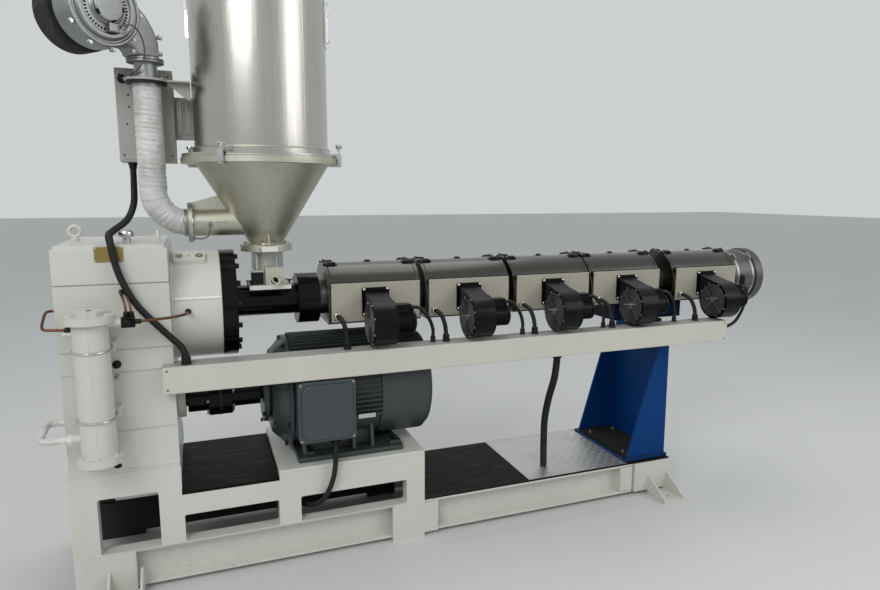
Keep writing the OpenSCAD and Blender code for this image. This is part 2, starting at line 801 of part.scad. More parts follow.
// Flexible conduits between glands: zones, blowers, control box and motor
zone_cord_r = 10;
fan_cord_r = 8;
box_cord_r = 13;
motor_cord_r = 11;
deck_cord_r = 17;
gland_x = 31;
gland_z = axis_z - 60;
cord_y = tray_y + 32;
zone_cord = [[0, 0, 0], [0, -14, 0], [4, -38, -1], [12, -70, -17], [18, -92, -52], [20, -102, -90],
    [20, -102, tray_top - gland_z]];
fan_cord_end = tray_top - fan_gland_z;
fan_cord = [[0, 0, 0], [14, 0, 0], [32, 2, -7], [58, 8, -32], [83, 16, -68], [98, 24, -108],
    [98, 24, -130], [98, 24, fan_cord_end]];
last_fan_cord = [[0, 0, 0], [14, 0, 0], [32, 3, -8], [44, 8, -40], [44, 16, -90], [30, 22, -140],
    [-4, 24, -186], [-52, 24, -208], [-86, 24, -211],
    [tray_end_x - fan_gland_x - zone_x[4], 24, -211]];
box_cord = [[hose_x - 75, 110, box_low[2]], [hose_x - 75, 110, 1620], [-121, 104, 1560], [-124, 70, 1480],
    [-146, 0, 1420], [-186, -110, 1384], [-190, -220, 1374], [-182, cord_y + 10, 1350],
    [-172, cord_y - 6, 1290], [-150, cord_y - 8, 1210], [-105, cord_y - 8, 1120],
    [-24, cord_y - 6, 1022], [30, cord_y - 2, 960], [44, cord_y, 920], [44, cord_y, tray_top]];
motor_cord_x = plinth_x + 228;
motor_cord = [[motor_cord_x, cord_y - 4, lead_box_z], [motor_cord_x, cord_y - 4, 490],
    [motor_cord_x - 2, cord_y - 5, 430], [motor_cord_x - 11, cord_y - 6, 366],
    [motor_cord_x - 30, cord_y - 4, 310], [motor_cord_x - 54, cord_y + 10, 262],
    [motor_cord_x - 78, cord_y + 38, 234], [motor_cord_x - 106, cord_y + 81, 214],
    [motor_cord_x - 140, cord_y + 146, 202], [motor_cord_x - 172, cord_y + 194, 197],
    [plinth_x + plate_t + 22, cord_y + 206, 197], [plinth_x + plate_t, cord_y + 206, 197]];
deck_cord_x = zone_x[3] - 240;
deck_cord = [[deck_cord_x, cord_y + 36, tray_z], [deck_cord_x, cord_y + 36, 750],
    [deck_cord_x, cord_y + 54, 660], [deck_cord_x + 2, cord_y + 106, 540],
    [deck_cord_x + 8, cord_y + 146, 420], [deck_cord_x + 16, cord_y + 162, 300],
    [deck_cord_x + 20, cord_y + 166, 210], [deck_cord_x + 20, cord_y + 166, beam_top + 6]];

module conduits() {
    steps = 3;
    sides = 8;
    color(black) placed() {
        for (x = zone_x) {
            swept(led([for (p = zone_cord) p + [x + gland_x, -zone_r - panel_t, gland_z]], steps),
                zone_cord_r, [1, 0, 0], sides);
            swept(led([for (p = x == zone_x[4] ? last_fan_cord : fan_cord)
                p + [x + fan_gland_x, drum_y, fan_gland_z]], steps), fan_cord_r, [0, 1, 0], sides);
        }
        swept(led(box_cord, steps), box_cord_r, [1, 0, 0], sides);
        swept(led(motor_cord, steps), motor_cord_r, [0, 1, 0], sides);
        swept(led(deck_cord, steps), deck_cord_r, [1, 0, 0], sides);
    }
}

// Blue column with two tapered cheeks, a back plate and the head under the barrel
module support_column() {
    low = beam_top + 6;
    top = tray_z - 12;
    head_z = 890;
    color(blue) placed() {
        slab([column_x - 16, -column_y - 10, low], [column_end_x + 10, column_y + 10, low + plate_t]);
        for (side = [0, 1]) {
            mirror([0, side, 0]) along_y(-column_y, plate_t) {
                polygon([[column_x, low + plate_t], [column_end_x, low + plate_t],
                    [column_end_x - 6, top], [column_x + 172, top]]);
            }
        }
        slab([column_end_x - 20, -column_y + plate_t, low + plate_t],
            [column_end_x - 8, column_y - plate_t, top]);
        slab([column_x + 162, -column_y, top - over], [column_end_x, column_y, tray_z]);
        slab([column_x + 170, -150, tray_z - over], [column_end_x, 150, head_z]);
        slab([column_x - 40, -120, head_z], [column_end_x + 140, 120, axis_z - zone_drop - fit]);
        difference() {
            slab([zone_x[3] + zone_l + 15, -60, axis_z - zone_drop - over],
                [zone_x[4] - 15, 60, axis_z - 40]);
            x_rod([zone_x[3], 0, axis_z], zone_x[4] - zone_x[3], barrel_r + fit);
        }
    }
}

// Motor frame with fins, end bell, terminal box and feet
module motor_frame() {
    core_r = motor_r - 22;
    fin_t = 5;
    fin_step = 8;
    color(motor_tone) placed() difference() {
        union() {
            x_rod([bell_x, 0, motor_z], 30, 150);
            translate([bell_x + 30, 0, motor_z]) rotate([0, 90, 0])
                cylinder(r1 = 190, r2 = core_r, h = frame_x - bell_x - 30);
            x_rod([frame_x, 0, motor_z], cowl_x - frame_x, core_r);
            for (angle = [-112 : fin_step : 112]) {
                translate([frame_x, 0, motor_z]) rotate([angle, 0, 0])
                    slab([0, -fin_t / 2, core_r - 4], [cowl_x - frame_x, fin_t / 2, motor_r]);
            }
            slab([frame_x + 14, -226, plinth_z], [cowl_x + 97, 226, plinth_z + foot_t]);
            slab([frame_x + 50, -150, plinth_z + foot_t - over], [cowl_x - 25, 150, motor_z - 160]);
            slab(lead_box, lead_box + lead_box_size);
            slab(lead_box + [22, 70, 62], lead_box + [215, 130, 222]);
        }
        x_rod([bell_x - over, 0, motor_z], 40, shaft_r + fit);
    }
}

module fan_cowl() {
    color(motor_tone) placed() {
        x_rod([cowl_x, 0, motor_z], cowl_end_x - cowl_x - 18, cowl_r);
        x_rod([cowl_end_x - 18, 0, motor_z], 18, cowl_r - 16);
    }
}

// Shafts and coupling between motor and gearbox
module drive_coupling() {
    color(black) placed() {
        x_rod([-14, 0, motor_z], bell_x + 44, shaft_r);
        x_rod([36, 0, motor_z], 82, 56);
        x_rod([118, 0, motor_z], 94, 78);
        x_rod([212, 0, motor_z], bell_x - 220, 50);
    }
}

front_side_frame();
back_side_frame();
front_channel();
back_channel();
base_plates();
deck_plates();
end_beam();
anchor_feet();
gearbox_case();
gearbox_cover();
gearbox_fittings();
thrust_housing();
feed_section();
feed_seat();
sight_box();
hopper_base();
hopper_gate();
hopper_cone();
hopper_cylinder();
hopper_lid();
dryer_hose();
dryer_blower();
dryer_filter();
control_box();
oil_cooler();
oil_pipes();
water_pipe();
barrel_tube();
heater_zone_1();
heater_zone_2();
heater_zone_3();
heater_zone_4();
heater_zone_5();
side_panels();
zone_blower_1();
zone_blower_2();
zone_blower_3();
zone_blower_4();
zone_blower_5();
barrel_end();
cable_tray();
conduits();
support_column();
motor_frame();
fan_cowl();
drive_coupling();
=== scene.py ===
"""A plastic extruder with its hopper dryer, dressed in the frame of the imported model.

Every size is in millimetres from the gearbox's output face (x), the screw's axis (y, the viewer at -y) and the
floor (z), and is turned into the frame's metres when a mesh is made.
"""
import sys

import logging
import math
from dataclasses import dataclass
from enum import Enum
from functools import cached_property
from typing import Any, Sequence

import bmesh
import bpy
import numpy as np
from mathutils import Matrix, Vector


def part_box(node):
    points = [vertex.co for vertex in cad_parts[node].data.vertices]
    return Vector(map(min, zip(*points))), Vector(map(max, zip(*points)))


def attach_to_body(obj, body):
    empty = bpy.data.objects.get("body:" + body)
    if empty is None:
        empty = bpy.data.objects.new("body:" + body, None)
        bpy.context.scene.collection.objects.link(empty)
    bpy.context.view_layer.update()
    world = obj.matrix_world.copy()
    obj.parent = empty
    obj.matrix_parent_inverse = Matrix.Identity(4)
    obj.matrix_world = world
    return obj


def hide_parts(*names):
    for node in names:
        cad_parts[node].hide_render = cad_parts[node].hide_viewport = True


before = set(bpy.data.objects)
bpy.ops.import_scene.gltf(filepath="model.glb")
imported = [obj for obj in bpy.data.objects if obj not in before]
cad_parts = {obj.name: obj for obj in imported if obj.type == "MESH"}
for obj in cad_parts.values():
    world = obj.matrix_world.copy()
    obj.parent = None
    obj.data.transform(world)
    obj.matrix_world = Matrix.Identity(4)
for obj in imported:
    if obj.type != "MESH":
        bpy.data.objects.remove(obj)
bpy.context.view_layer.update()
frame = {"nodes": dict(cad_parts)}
LOG = logging.getLogger("extruder")
Piece = bpy.types.Object
Material = bpy.types.Material
Colour = tuple[float, float, float, float]
Point = Sequence[float]
Points = Sequence[Sequence[float]]

FACE_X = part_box("gearbox_cover")[1][0]
AXIS_Y = (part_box("barrel_tube")[0][1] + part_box("barrel_tube")[1][1]) / 2
DATUM = np.array([FACE_X, AXIS_Y, 0.0])

# Places that several sub-assemblies share; LEAD_X and FAN_LEAD count from the start of a zone.
AXIS_Z = 1075.0
FRONT_Y = -265.0
ZONE_X = (610.0, 1045.0, 1480.0, 1900.0, 2400.0)
ZONE_L = 410.0
HOPPER_X = 380.0
INLET_Z = 1406.0
MOTOR_Z = 670.0
DUCT_TOP = 892.0
PANEL_Y = -160.0
LEAD_X = 31.0
LEAD_Z = 1015.0
FAN_LEAD = (331.0, -275.0, 1053.0)
SCREW_LINE = (0.0, 0.0, AXIS_Z)
MOTOR_LINE = (0.0, 0.0, MOTOR_Z)


class Body(Enum):
    """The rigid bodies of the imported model."""

    MACHINE = "machine"
    COUPLING = "coupling"
    GATE = "gate"


class Axis(Enum):
    """Axis of a turned, extruded or repeated shape, with the two axes that follow it by the right-hand rule."""

    X = (0, 1, 2)
    Y = (1, 2, 0)
    Z = (2, 0, 1)


X, Y, Z = Axis

# Shapes

@dataclass(frozen=True)
class Shape:
    """Points in millimetres with the corner numbers and the corner counts of their faces."""

    points: np.ndarray
    loops: np.ndarray
    sizes: np.ndarray

    def __add__(self, other: "Shape") -> "Shape":
        """Both shapes as one."""
        return joined([self, other])

    def moved(self, x: float = 0.0, y: float = 0.0, z: float = 0.0) -> "Shape":
        """The shape shifted by a distance along each axis."""
        return Shape(self.points + np.array([x, y, z]), self.loops, self.sizes)

    def turned(self, axis: Axis, degrees: float, about: Point = (0, 0, 0)) -> "Shape":
        """The shape turned about a line through a point, by the right-hand rule.

        Args:
            axis: direction of the line.
            degrees: how far it turns.
            about: point on the line.

        Returns:
            The turned shape: u becomes c u - s v, and v becomes s u + c v.
        """
        u, v = axis.value[1:]
        c, s = math.cos(math.radians(degrees)), math.sin(math.radians(degrees))
        p = self.points - np.asarray(about, float)
        q = p.copy()
        q[:, u] = c * p[:, u] - s * p[:, v]
        q[:, v] = s * p[:, u] + c * p[:, v]
        return Shape(q + np.asarray(about, float), self.loops, self.sizes)

    def mirrored(self, axis: Axis, at: float = 0.0) -> "Shape":
        """The shape mirrored in a plane.

        Args:
            axis: direction across the plane.
            at: where the plane stands along it.

        Returns:
            The mirrored shape, with its faces turned back outwards.
        """
        p = self.points.copy()
        p[:, axis.value[0]] = 2 * at - p[:, axis.value[0]]
        return Shape(p, self.loops[::-1].copy(), self.sizes[::-1].copy())

    def both_sides(self) -> "Shape":
        """The shape and its mirror image behind the middle plane."""
        return self + self.mirrored(Y)

    def repeated(self, places: Points) -> "Shape":
        """One copy of the shape at each offset."""
        return joined([self.moved(*place) for place in places])

    def ringed(self, axis: Axis, about: Point, count: int, start: float = 0.0) -> "Shape":
        """Copies of the shape spread evenly round a line."""
        return joined([self.turned(axis, start + 360.0 * i / count, about) for i in range(count)])


def joined(shapes: Sequence[Shape]) -> Shape:
    """Several shapes as one.

    Args:
        shapes: the shapes in order.

    Returns:
        One shape, with the corner numbers of each shifted past the points before it.
    """
    counts = np.cumsum([0] + [len(s.points) for s in shapes])
    return Shape(
        np.concatenate([s.points for s in shapes]),
        np.concatenate([s.loops + c for s, c in zip(shapes, counts)]),
        np.concatenate([s.sizes for s in shapes]),
    )


def surface(grid: np.ndarray, around: bool = True, along: bool = False, caps: bool = True) -> Shape:
    """Skins a grid of points with four-cornered faces.

    Args:
        grid: points by row and column; column direction crossed with row direction points outwards.
        around: whether the last column meets the first.
        along: whether the last row meets the first.
        caps: whether an open shape gets a flat face on its first and last row.

    Returns:
        The skin: face (i, j) has the corners (i, j), (i, j+1), (i+1, j+1), (i+1, j).
    """
    rows, columns = grid.shape[:2]
    number = np.arange(rows * columns).reshape(rows, columns)
    if around:
        number = np.concatenate([number, number[:, :1]], axis=1)
    if along:
        number = np.concatenate([number, number[:1]], axis=0)
    quads = np.stack([number[:-1, :-1], number[:-1, 1:], number[1:, 1:], number[1:, :-1]], axis=-1)
    loops, sizes = quads.reshape(-1), np.full(quads.size // 4, 4)
    if around and caps and not along:
        first, last = np.arange(columns)[::-1], np.arange((rows - 1) * columns, rows * columns)
        loops = np.concatenate([loops, first, last])
        sizes = np.concatenate([sizes, [columns, columns]])
    return Shape(grid.reshape(-1, 3), loops, sizes)


def turns(count: int) -> np.ndarray:
    """Angles spread evenly over a full turn, from nought."""
    return np.arange(count) * 2 * math.pi / count


def lathe(profile: Points, at: Point, axis: Axis = Z, sides: int = 48,
          ring: bool = False) -> Shape:
    """Turns a profile about a line.

    Args:
        profile: pairs of distance along the line and radius; the outside runs towards the axis.
        at: point on the line where the distance is nought.
        axis: direction of the line.
        sides: number of faces round it.
        ring: whether the profile closes on itself.

    Returns:
        Point (i, j) lies at distance i along the axis, at radius i times cosine and sine of angle j.
    """
    p = np.asarray(profile, float)
    angle = turns(sides)
    w, u, v = axis.value
    grid = np.empty((len(p), sides, 3))
    grid[..., w] = p[:, :1]
    grid[..., u] = p[:, 1:] * np.cos(angle)
    grid[..., v] = p[:, 1:] * np.sin(angle)
    return surface(grid + np.asarray(at, float), along=ring)


def smooth(route: Points, steps: int) -> np.ndarray:
    """A Catmull-Rom curve.

    Args:
        route: points that the curve passes through.
        steps: number of pieces between two of them.

    Returns:
        Between b and c: half of 2b + (c - a)t + (2a - 5b + 4c - d)t squared + (3b - a - 3c + d)t cubed.
    """
    p = np.asarray(route, float)
    a, b = np.concatenate([p[:1], p[:-2]]), p[:-1]
    c, d = p[1:], np.concatenate([p[2:], p[-1:]])
    t = (np.arange(steps) / steps)[None, :, None]
    a, b, c, d = a[:, None], b[:, None], c[:, None], d[:, None]
    curve = 0.5 * (2 * b + (c - a) * t + (2 * a - 5 * b + 4 * c - d) * t**2 + (3 * b - a - 3 * c + d) * t**3)
    return np.concatenate([curve.reshape(-1, 3), p[-1:]])


def led(route: Points, steps: int) -> np.ndarray:
    """A smooth curve that leaves its first point and meets its last one in a straight line."""
    return np.concatenate([np.asarray(route[:1], float), smooth(route[1:-1], steps), np.asarray(route[-1:], float)])


def spaced(path: np.ndarray, gap: float) -> np.ndarray:
    """The path with its points spread evenly.

    Args:
        path: points of the path.
        gap: distance along it between two new points.

    Returns:
        The new points, each between two old ones in proportion to the length run so far.
    """
    run = np.concatenate([[0], np.cumsum(np.linalg.norm(np.diff(path, axis=0), axis=1))])
    at = np.linspace(0, run[-1], max(2, int(run[-1] / gap) + 1))
    return np.stack([np.interp(at, run, path[:, k]) for k in range(3)], axis=1)


def tube(path: Any, radius: Any, side: Point = (0, 0, 1), sides: int = 12,
         closed: bool = False) -> Shape:
    """Sweeps a circle along a path: centre plus radius times cosine and sine on two vectors across the path.

    Args:
        path: centre points, whose direction never lies along side.
        radius: one radius, or one for each point, or one for each point and side.
        side: fixed direction that the circles are laid out from.
        sides: number of faces round the tube.
        closed: whether the path meets itself.

    Returns:
        The tube with its ends closed.
    """
    path = np.asarray(path, float)
    if closed:
        t = np.roll(path, -1, axis=0) - np.roll(path, 1, axis=0)
    else:
        t = np.gradient(path, axis=0)
    t = t / np.linalg.norm(t, axis=1, keepdims=True)
    u = np.cross(t, np.asarray(side, float))
    u = u / np.linalg.norm(u, axis=1, keepdims=True)
    v = np.cross(t, u)
    angle = turns(sides)
    r = np.asarray(radius, float)
    r = np.broadcast_to(r[:, None] if r.ndim == 1 else r, (len(path), sides))[..., None]
    grid = path[:, None] + r * (np.cos(angle)[:, None] * u[:, None] + np.sin(angle)[:, None] * v[:, None])
    return surface(grid, along=closed)


def hoop(at: Point, ring_r: float, wire_r: float, axis: Axis, sides: int = 48, wire: int = 8) -> Shape:
    """A ring of round wire about a line through a point."""
    a = turns(wire)
    return lathe(np.stack([-wire_r * np.cos(a), ring_r + wire_r * np.sin(a)], axis=1), at, axis, sides, ring=True)


def extruded(outline: Points, axis: Axis, start: float, length: float) -> Shape:
    """Carries a closed outline straight along an axis.

    Args:
        outline: pairs on the two other axes, in the order x before y before z.
        axis: direction of travel.
        start: where the outline starts.
        length: how far it is carried.

    Returns:
        The solid with both ends closed; an outline that runs backwards is turned round first.
    """
    w, u, v = axis.value
    p = np.asarray(outline, float)
    if axis is Y:
        p = p[:, ::-1]
    area = np.sum(p[:, 0] * np.roll(p[:, 1], -1) - np.roll(p[:, 0], -1) * p[:, 1])
    if area < 0:
        p = p[::-1]
    grid = np.empty((2, len(p), 3))
    grid[0, :, w], grid[1, :, w] = start, start + length
    grid[..., u] = p[:, 0]
    grid[..., v] = p[:, 1]
    return surface(grid)


def slab(low: Point, high: Point) -> Shape:
    """A block between two corners."""
    return extruded([(low[0], low[1]), (high[0], low[1]), (high[0], high[1]), (low[0], high[1])], Z, low[2],
                    high[2] - low[2])


def rounded(low: Point, high: Point, radius: float, steps: int = 5) -> list[tuple[float, float]]:
    """An outline of a rectangle with round corners.

    Args:
        low: lowest corner.
        high: highest corner.
        radius: radius of the quarter circles.
        steps: number of pieces in each.

    Returns:
        Pairs: centre plus radius times cosine and sine, over a quarter turn at each corner.
    """
    centres = [(high[0] - radius, high[1] - radius, 0), (low[0] + radius, high[1] - radius, 90),
               (low[0] + radius, low[1] + radius, 180), (high[0] - radius, low[1] + radius, 270)]
    angles = np.radians(np.linspace(0, 90, steps + 1))
    return [(cx + radius * math.cos(a + math.radians(t)), cy + radius * math.sin(a + math.radians(t)))
            for cx, cy, t in centres for a in angles]


def hex_bolt(size: float, at: Point, axis: Axis, out: float = 1.0) -> Shape:
    """A hexagon head on its washer, facing along the axis, or against it where out is -1.

    Args:
        size: half the width of the head across its corners.
        at: centre of the washer's seat.
        axis: direction that the head faces.
        out: 1 or -1.

    Returns:
        Washer and six-sided head with a chamfered top.
    """
    washer = lathe([(0, size * 1.2), (size * 0.2, size * 1.2)], (0, 0, 0), axis, 20)
    head = lathe([(size * 0.2, size), (size * 0.85, size), (size * 0.98, size * 0.86)], (0, 0, 0), axis, 6)
    both = washer + head
    if out < 0:
        both = both.mirrored(axis)
    return both.moved(*at)


def socket_bolt(radius: float, height: float, at: Point, axis: Axis, out: float = 1.0) -> Shape:
    """A round cap screw.

    Args:
        radius: radius of the head.
        height: height of the head.
        at: centre of its seat.
        axis: direction that the head faces.
        out: 1, or -1 to face against the axis.

    Returns:
        The head, with a chamfered rim and a hollow socket.
    """
    cap = lathe([(0, radius), (height * 0.9, radius), (height, radius * 0.92), (height, radius * 0.55),
                 (height * 0.5, radius * 0.5)], (0, 0, 0), axis, 20)
    if out < 0:
        cap = cap.mirrored(axis)
    return cap.moved(*at)


BEAD_STEP = 2.6
RIPPLE = 1.9


def weld(start: Point, end: Point, radius: float, side: Point, seed: int) -> Shape:
    """A weld bead along a straight line.

    Args:
        start: where the bead starts.
        end: where it ends.
        radius: middle radius of the bead.
        side: direction that its circles are laid out from.
        seed: seed of its chance.

    Returns:
        A thin tube: the radius at point n is the middle one times 1 + 0.16 sine of n ripples + 0.1 chance.
    """
    path = spaced(np.array([start, end], float), BEAD_STEP)
    chance = np.random.default_rng(seed)
    n = np.arange(len(path))
    radii = radius * (1 + 0.16 * np.sin(n * RIPPLE) + 0.1 * chance.standard_normal(len(path)))
    path = path + chance.standard_normal(path.shape) * radius * 0.07
    return tube(path, np.clip(radii, radius * 0.6, radius * 1.5), side, 8)


def conduit(path: np.ndarray, radius: float, side: Point, pitch: float = 4.5) -> Shape:
    """A corrugated hose.

    Args:
        path: points of its middle line.
        radius: radius of its ridges.
        side: direction that its circles are laid out from.
        pitch: distance from ridge to ridge.

    Returns:
        A tube whose radius goes low, high, high, low over each pitch.
    """
    fine = spaced(path, pitch / 4)
    wave = np.tile([0.0, 1.0, 1.0, 0.0], len(fine) // 4 + 1)[: len(fine)]
    return tube(fine, radius * (0.88 + 0.12 * wave), side, 14)


# Shader maths

class Value:
    """A number or colour that varies over a surface, held as the socket that gives it."""

    def __init__(self, graph: "Graph", socket: bpy.types.NodeSocket) -> None:
        """Wraps a socket of a graph's node."""
        self.graph = graph
        self.socket = socket

    def _math(self, operation: str, first: Any, second: Any, clamp: bool = False) -> "Value":
        """Adds a Math node on two numbers or values."""
        return self.graph.node("ShaderNodeMath", {"operation": operation, "use_clamp": clamp},
                               {0: first, 1: second})

    def __add__(self, other: Any) -> "Value":
        """The sum with a number or value."""
        return self._math("ADD", self, other)

    def __radd__(self, other: Any) -> "Value":
        """The sum with a number on the left."""
        return self._math("ADD", other, self)

    def __sub__(self, other: Any) -> "Value":
        """The difference from a number or value."""
        return self._math("SUBTRACT", self, other)

    def __rsub__(self, other: Any) -> "Value":
        """A number less this value."""
        return self._math("SUBTRACT", other, self)

    def __mul__(self, other: Any) -> "Value":
        """The product with a number or value."""
        return self._math("MULTIPLY", self, other)

    def __rmul__(self, other: Any) -> "Value":
        """The product with a number on the left."""
        return self._math("MULTIPLY", other, self)

    def step(self, low: float, high: float) -> "Value":
        """Rises smoothly from 0 at low to 1 at high."""
        return self.graph.node("ShaderNodeMapRange", {"interpolation_type": "SMOOTHSTEP"},
                               {"Value": self, "From Min": low, "From Max": high})

    def larger(self, other: Any) -> "Value":
        """The larger of two values."""
        return self._math("MAXIMUM", self, other)

    def capped(self) -> "Value":
        """The value kept between 0 and 1."""
        return self._math("ADD", self, 0.0, clamp=True)


class Graph:
    """The node graph of a material or of the world."""

    def __init__(self, owner: Any, output: str = "ShaderNodeOutputMaterial") -> None:
        """Empties the owner's nodes and adds its output.

        Args:
            owner: the material or world.
            output: type of its output node.
        """
        self.owner = owner
        owner.use_nodes = True
        self.tree = owner.node_tree
        self.tree.nodes.clear()
        self.output = self.tree.nodes.new(output)

    @cached_property
    def place(self) -> Value:
        """The place in object coordinates, in metres."""
        return self.node("ShaderNodeTexCoord", {}, {}, "Object")

    def node(self, kind: str, settings: dict[str, Any], inputs: dict[Any, Any], output: Any = 0) -> Value:
        """Adds a node.

        Args:
            kind: the node's type.
            settings: properties that are set before its sockets.
            inputs: numbers, colours or values by socket name or number.
            output: name or number of the socket that is returned.

        Returns:
            The chosen output as a value.
        """
        made = self.tree.nodes.new(kind)
        for key, setting in settings.items():
            setattr(made, key, setting)
        for key, given in inputs.items():
            if isinstance(given, Value):
                self.tree.links.new(given.socket, made.inputs[key])
            else:
                made.inputs[key].default_value = given
        return Value(self, made.outputs[output])

    def noise(self, scale: float, detail: float = 3.0, rough: float = 0.55,
              stretch: Point = (1, 1, 1), shift: float = 0.0) -> Value:
        """Noise on object coordinates.

        Args:
            scale: number of waves in a metre.
            detail: how many finer waves are added.
            rough: how strong they are.
            stretch: factor on each coordinate; the noise is drawn out where it is below 1.
            shift: distance that the coordinates are shifted by.

        Returns:
            A number from 0 to 1.
        """
        where = self.node("ShaderNodeMapping", {}, {"Vector": self.place, "Scale": tuple(stretch),
                                                    "Location": (shift, shift, shift)})
        return self.node("ShaderNodeTexNoise", {}, {"Vector": where, "Scale": scale, "Detail": detail,
                                                    "Roughness": rough})

    def cells(self, scale: float) -> Value:
        """Distance to the nearest of scattered points, on object coordinates."""
        return self.node("ShaderNodeTexVoronoi", {"feature": "F1"}, {"Vector": self.place, "Scale": scale})

    def along(self, axis: Axis) -> Value:
        """One coordinate of the place in metres."""
        return self.node("ShaderNodeSeparateXYZ", {}, {0: self.place}, axis.value[0])

    def facing(self, axis: Axis) -> Value:
        """How far a face points along an axis, from -1 to 1."""
        normal = self.node("ShaderNodeNewGeometry", {}, {}, "Normal")
        return self.node("ShaderNodeSeparateXYZ", {}, {0: normal}, axis.value[0])

    def edge(self) -> Value:
        """The wear mark of a softened node: 1 on its rounded edges, else 0."""
        return self.node("ShaderNodeAttribute", {"attribute_name": "edge"}, {}, "Fac")

    def blend(self, factor: Any, first: Any, second: Any) -> Value:
        """Mixes two colours: the first where the factor is 0, the second where it is 1."""
        return self.node("ShaderNodeMix", {"data_type": "RGBA"}, {0: factor, 6: first, 7: second}, 2)

    def bump(self, height: Value, depth: float, strength: float) -> Value:
        """A normal from a height that counts as depth metres from 0 to 1."""
        return self.node("ShaderNodeBump", {}, {"Height": height, "Distance": depth, "Strength": strength}, "Normal")

    def close(self, shader: Value) -> Any:
        """Joins a shader to the output and gives the owner back."""
        self.tree.links.new(shader.socket, self.output.inputs["Surface"])
        return self.owner

    def surface(self, inputs: dict[str, Any]) -> Material:
        """Ends the graph in one Principled shader with these inputs."""
        return self.close(self.node("ShaderNodeBsdfPrincipled", {}, inputs))


def tone(red: float, green: float, blue: float) -> Colour:
    """A colour in linear numbers.

    Args:
        red: red as it looks on screen, 0 to 255.
        green: green in the same way.
        blue: blue in the same way.

    Returns:
        Each channel as the screen's curve makes it light, and 1 for full cover.
    """
    linear = [c / 255 / 12.92 if c / 255 <= 0.04045 else ((c / 255 + 0.055) / 1.055) ** 2.4
              for c in (red, green, blue)]
    return (linear[0], linear[1], linear[2], 1.0)


# Finishes

# Where masks of the machine paint rise from 0 to 1, in metres of the frame; BAY_SIDES is squared. FLOOR_DIRT_Z bounds
# the dirt near the floor, the others bound the painted shade inside the base's bays.
FLOOR_DIRT_Z = (0.02, 0.34)
BAY_SIDES = (0.0422, 0.0425)
BAY_END_X = (-0.286, -0.284)
PLINTH_Z = (0.393, 0.396)
SEAT_Z = (0.484, 0.487)


@dataclass(frozen=True)
class Finish:
    """A finish: its name, the material slot of the record that it belongs to (not used here), and its main colour."""

    name: str
    slot: str
    colour: Colour

    def dress(self, graph: Graph) -> Material:
        """Builds the finish's nodes; each kind of finish has its own."""
        raise NotImplementedError

    def material(self) -> Material:
        """The finish as a material.

        Returns:
            The one that is there already, or a new one.
        """
        name = "finish_" + self.name
        known = bpy.data.materials.get(name)
        return known if known else self.dress(Graph(bpy.data.materials.new(name)))

    def shaded(self, share: float, lift: float = 0.0) -> Colour:
        """The main colour times a share plus a lift, kept below 1."""
        red, green, blue = (min(1.0, c * share + lift) for c in self.colour[:3])
        return (red, green, blue, 1.0)


@dataclass(frozen=True)
class Paint(Finish):
    """Sprayed paint: orange peel, mottling, dirt and runs, chipped edges.

    low_dirt is splashed dirt near the floor. The inside flag paints shade into the bays of the base, where their
    insides lie in shadow. The above height is where painted shade starts to darken the paint upwards. gloss is the
    shader's specular level.
    """

    rough: float = 0.42
    dirt: float = 0.5
    chips: float = 0.5
    low_dirt: float = 0.0
    coat: float = 0.15
    painted_shade_inside: bool = False
    painted_shade_above: float = 0.0
    gloss: float = 0.5

    def dress(self, graph: Graph) -> Material:
        """Mixes paint, dirt, bare metal and painted shade.

        Args:
            graph: graph of the new material.

        Returns:
            The material.
        """
        cloud = graph.noise(3.1, 4).step(0.35, 0.7)
        patch = graph.noise(17.0, 5, 0.62, shift=3.0)
        runs = graph.noise(26.0, 3, 0.6, (1, 1, 0.06)).step(0.56, 0.8)
        soil = (self.colour[0] * 0.44, self.colour[1] * 0.41, self.colour[2] * 0.36, 1.0)
        paint = graph.blend(cloud * 0.55, self.colour, self.shaded(0.9))
        grime = (runs * 0.22 + patch.step(0.6, 0.78) * 0.3) * self.dirt
        if self.low_dirt:
            near_floor = 1.0 - graph.along(Z).step(*FLOOR_DIRT_Z)
            splash = graph.noise(42.0, 5, 0.7, shift=9.0).step(0.42, 0.74)
            grime = grime + near_floor * (0.16 + splash * 0.62) * self.low_dirt
        paint = graph.blend(grime.capped(), paint, soil)
        # Painted shade: above this height the paint turns near-black blue, where the column's head lies in shade under
        # the barrel and blowers.
        if self.painted_shade_above:
            shade = graph.along(Z).step(self.painted_shade_above, self.painted_shade_above + 0.04)
            paint = graph.blend(shade * 0.85, paint, tone(9, 18, 30))
        # Painted shade: near-black on the base's inner faces in its bays, seen through the windows, where the inside
        # lies in shade.
        if self.painted_shade_inside:
            x, z, away = graph.along(X), graph.along(Z), graph.along(Y) - float(AXIS_Y)
            across = (1.0 - (away * away).step(*BAY_SIDES)) * (1.0 - x.step(*BAY_END_X))
            under = 1.0 - z.step(*PLINTH_Z) * x.step(float(FACE_X) - 0.002, float(FACE_X))
            paint = graph.blend(across * under * (1.0 - z.step(*SEAT_Z)), paint, tone(20, 20, 22))
        flecks = graph.noise(210.0, 2, 0.5, shift=1.0).step(0.735, 0.76)
        edge = graph.edge()
        torn = graph.noise(58.0, 4, 0.68, shift=5.0)
        worn = 0.12 * self.chips
        bare = edge * torn.step(0.66 - worn, 0.69 - worn) + flecks * 0.35 * self.chips
        bare = (bare * self.chips * 1.6).capped()
        paint = graph.blend(bare, paint, tone(92, 86, 80))
        peel = graph.noise(520.0, 2, 0.5)
        normal = graph.bump(peel - bare * 0.9, 0.00022, 0.5)
        return graph.surface({
            "Base Color": paint, "Roughness": (self.rough + grime * 0.3 + cloud * 0.05 + bare * 0.1).capped(),
            "Metallic": bare * 0.6, "Normal": normal, "Coat Weight": self.coat, "Coat Roughness": 0.25,
            "Specular IOR Level": self.gloss})


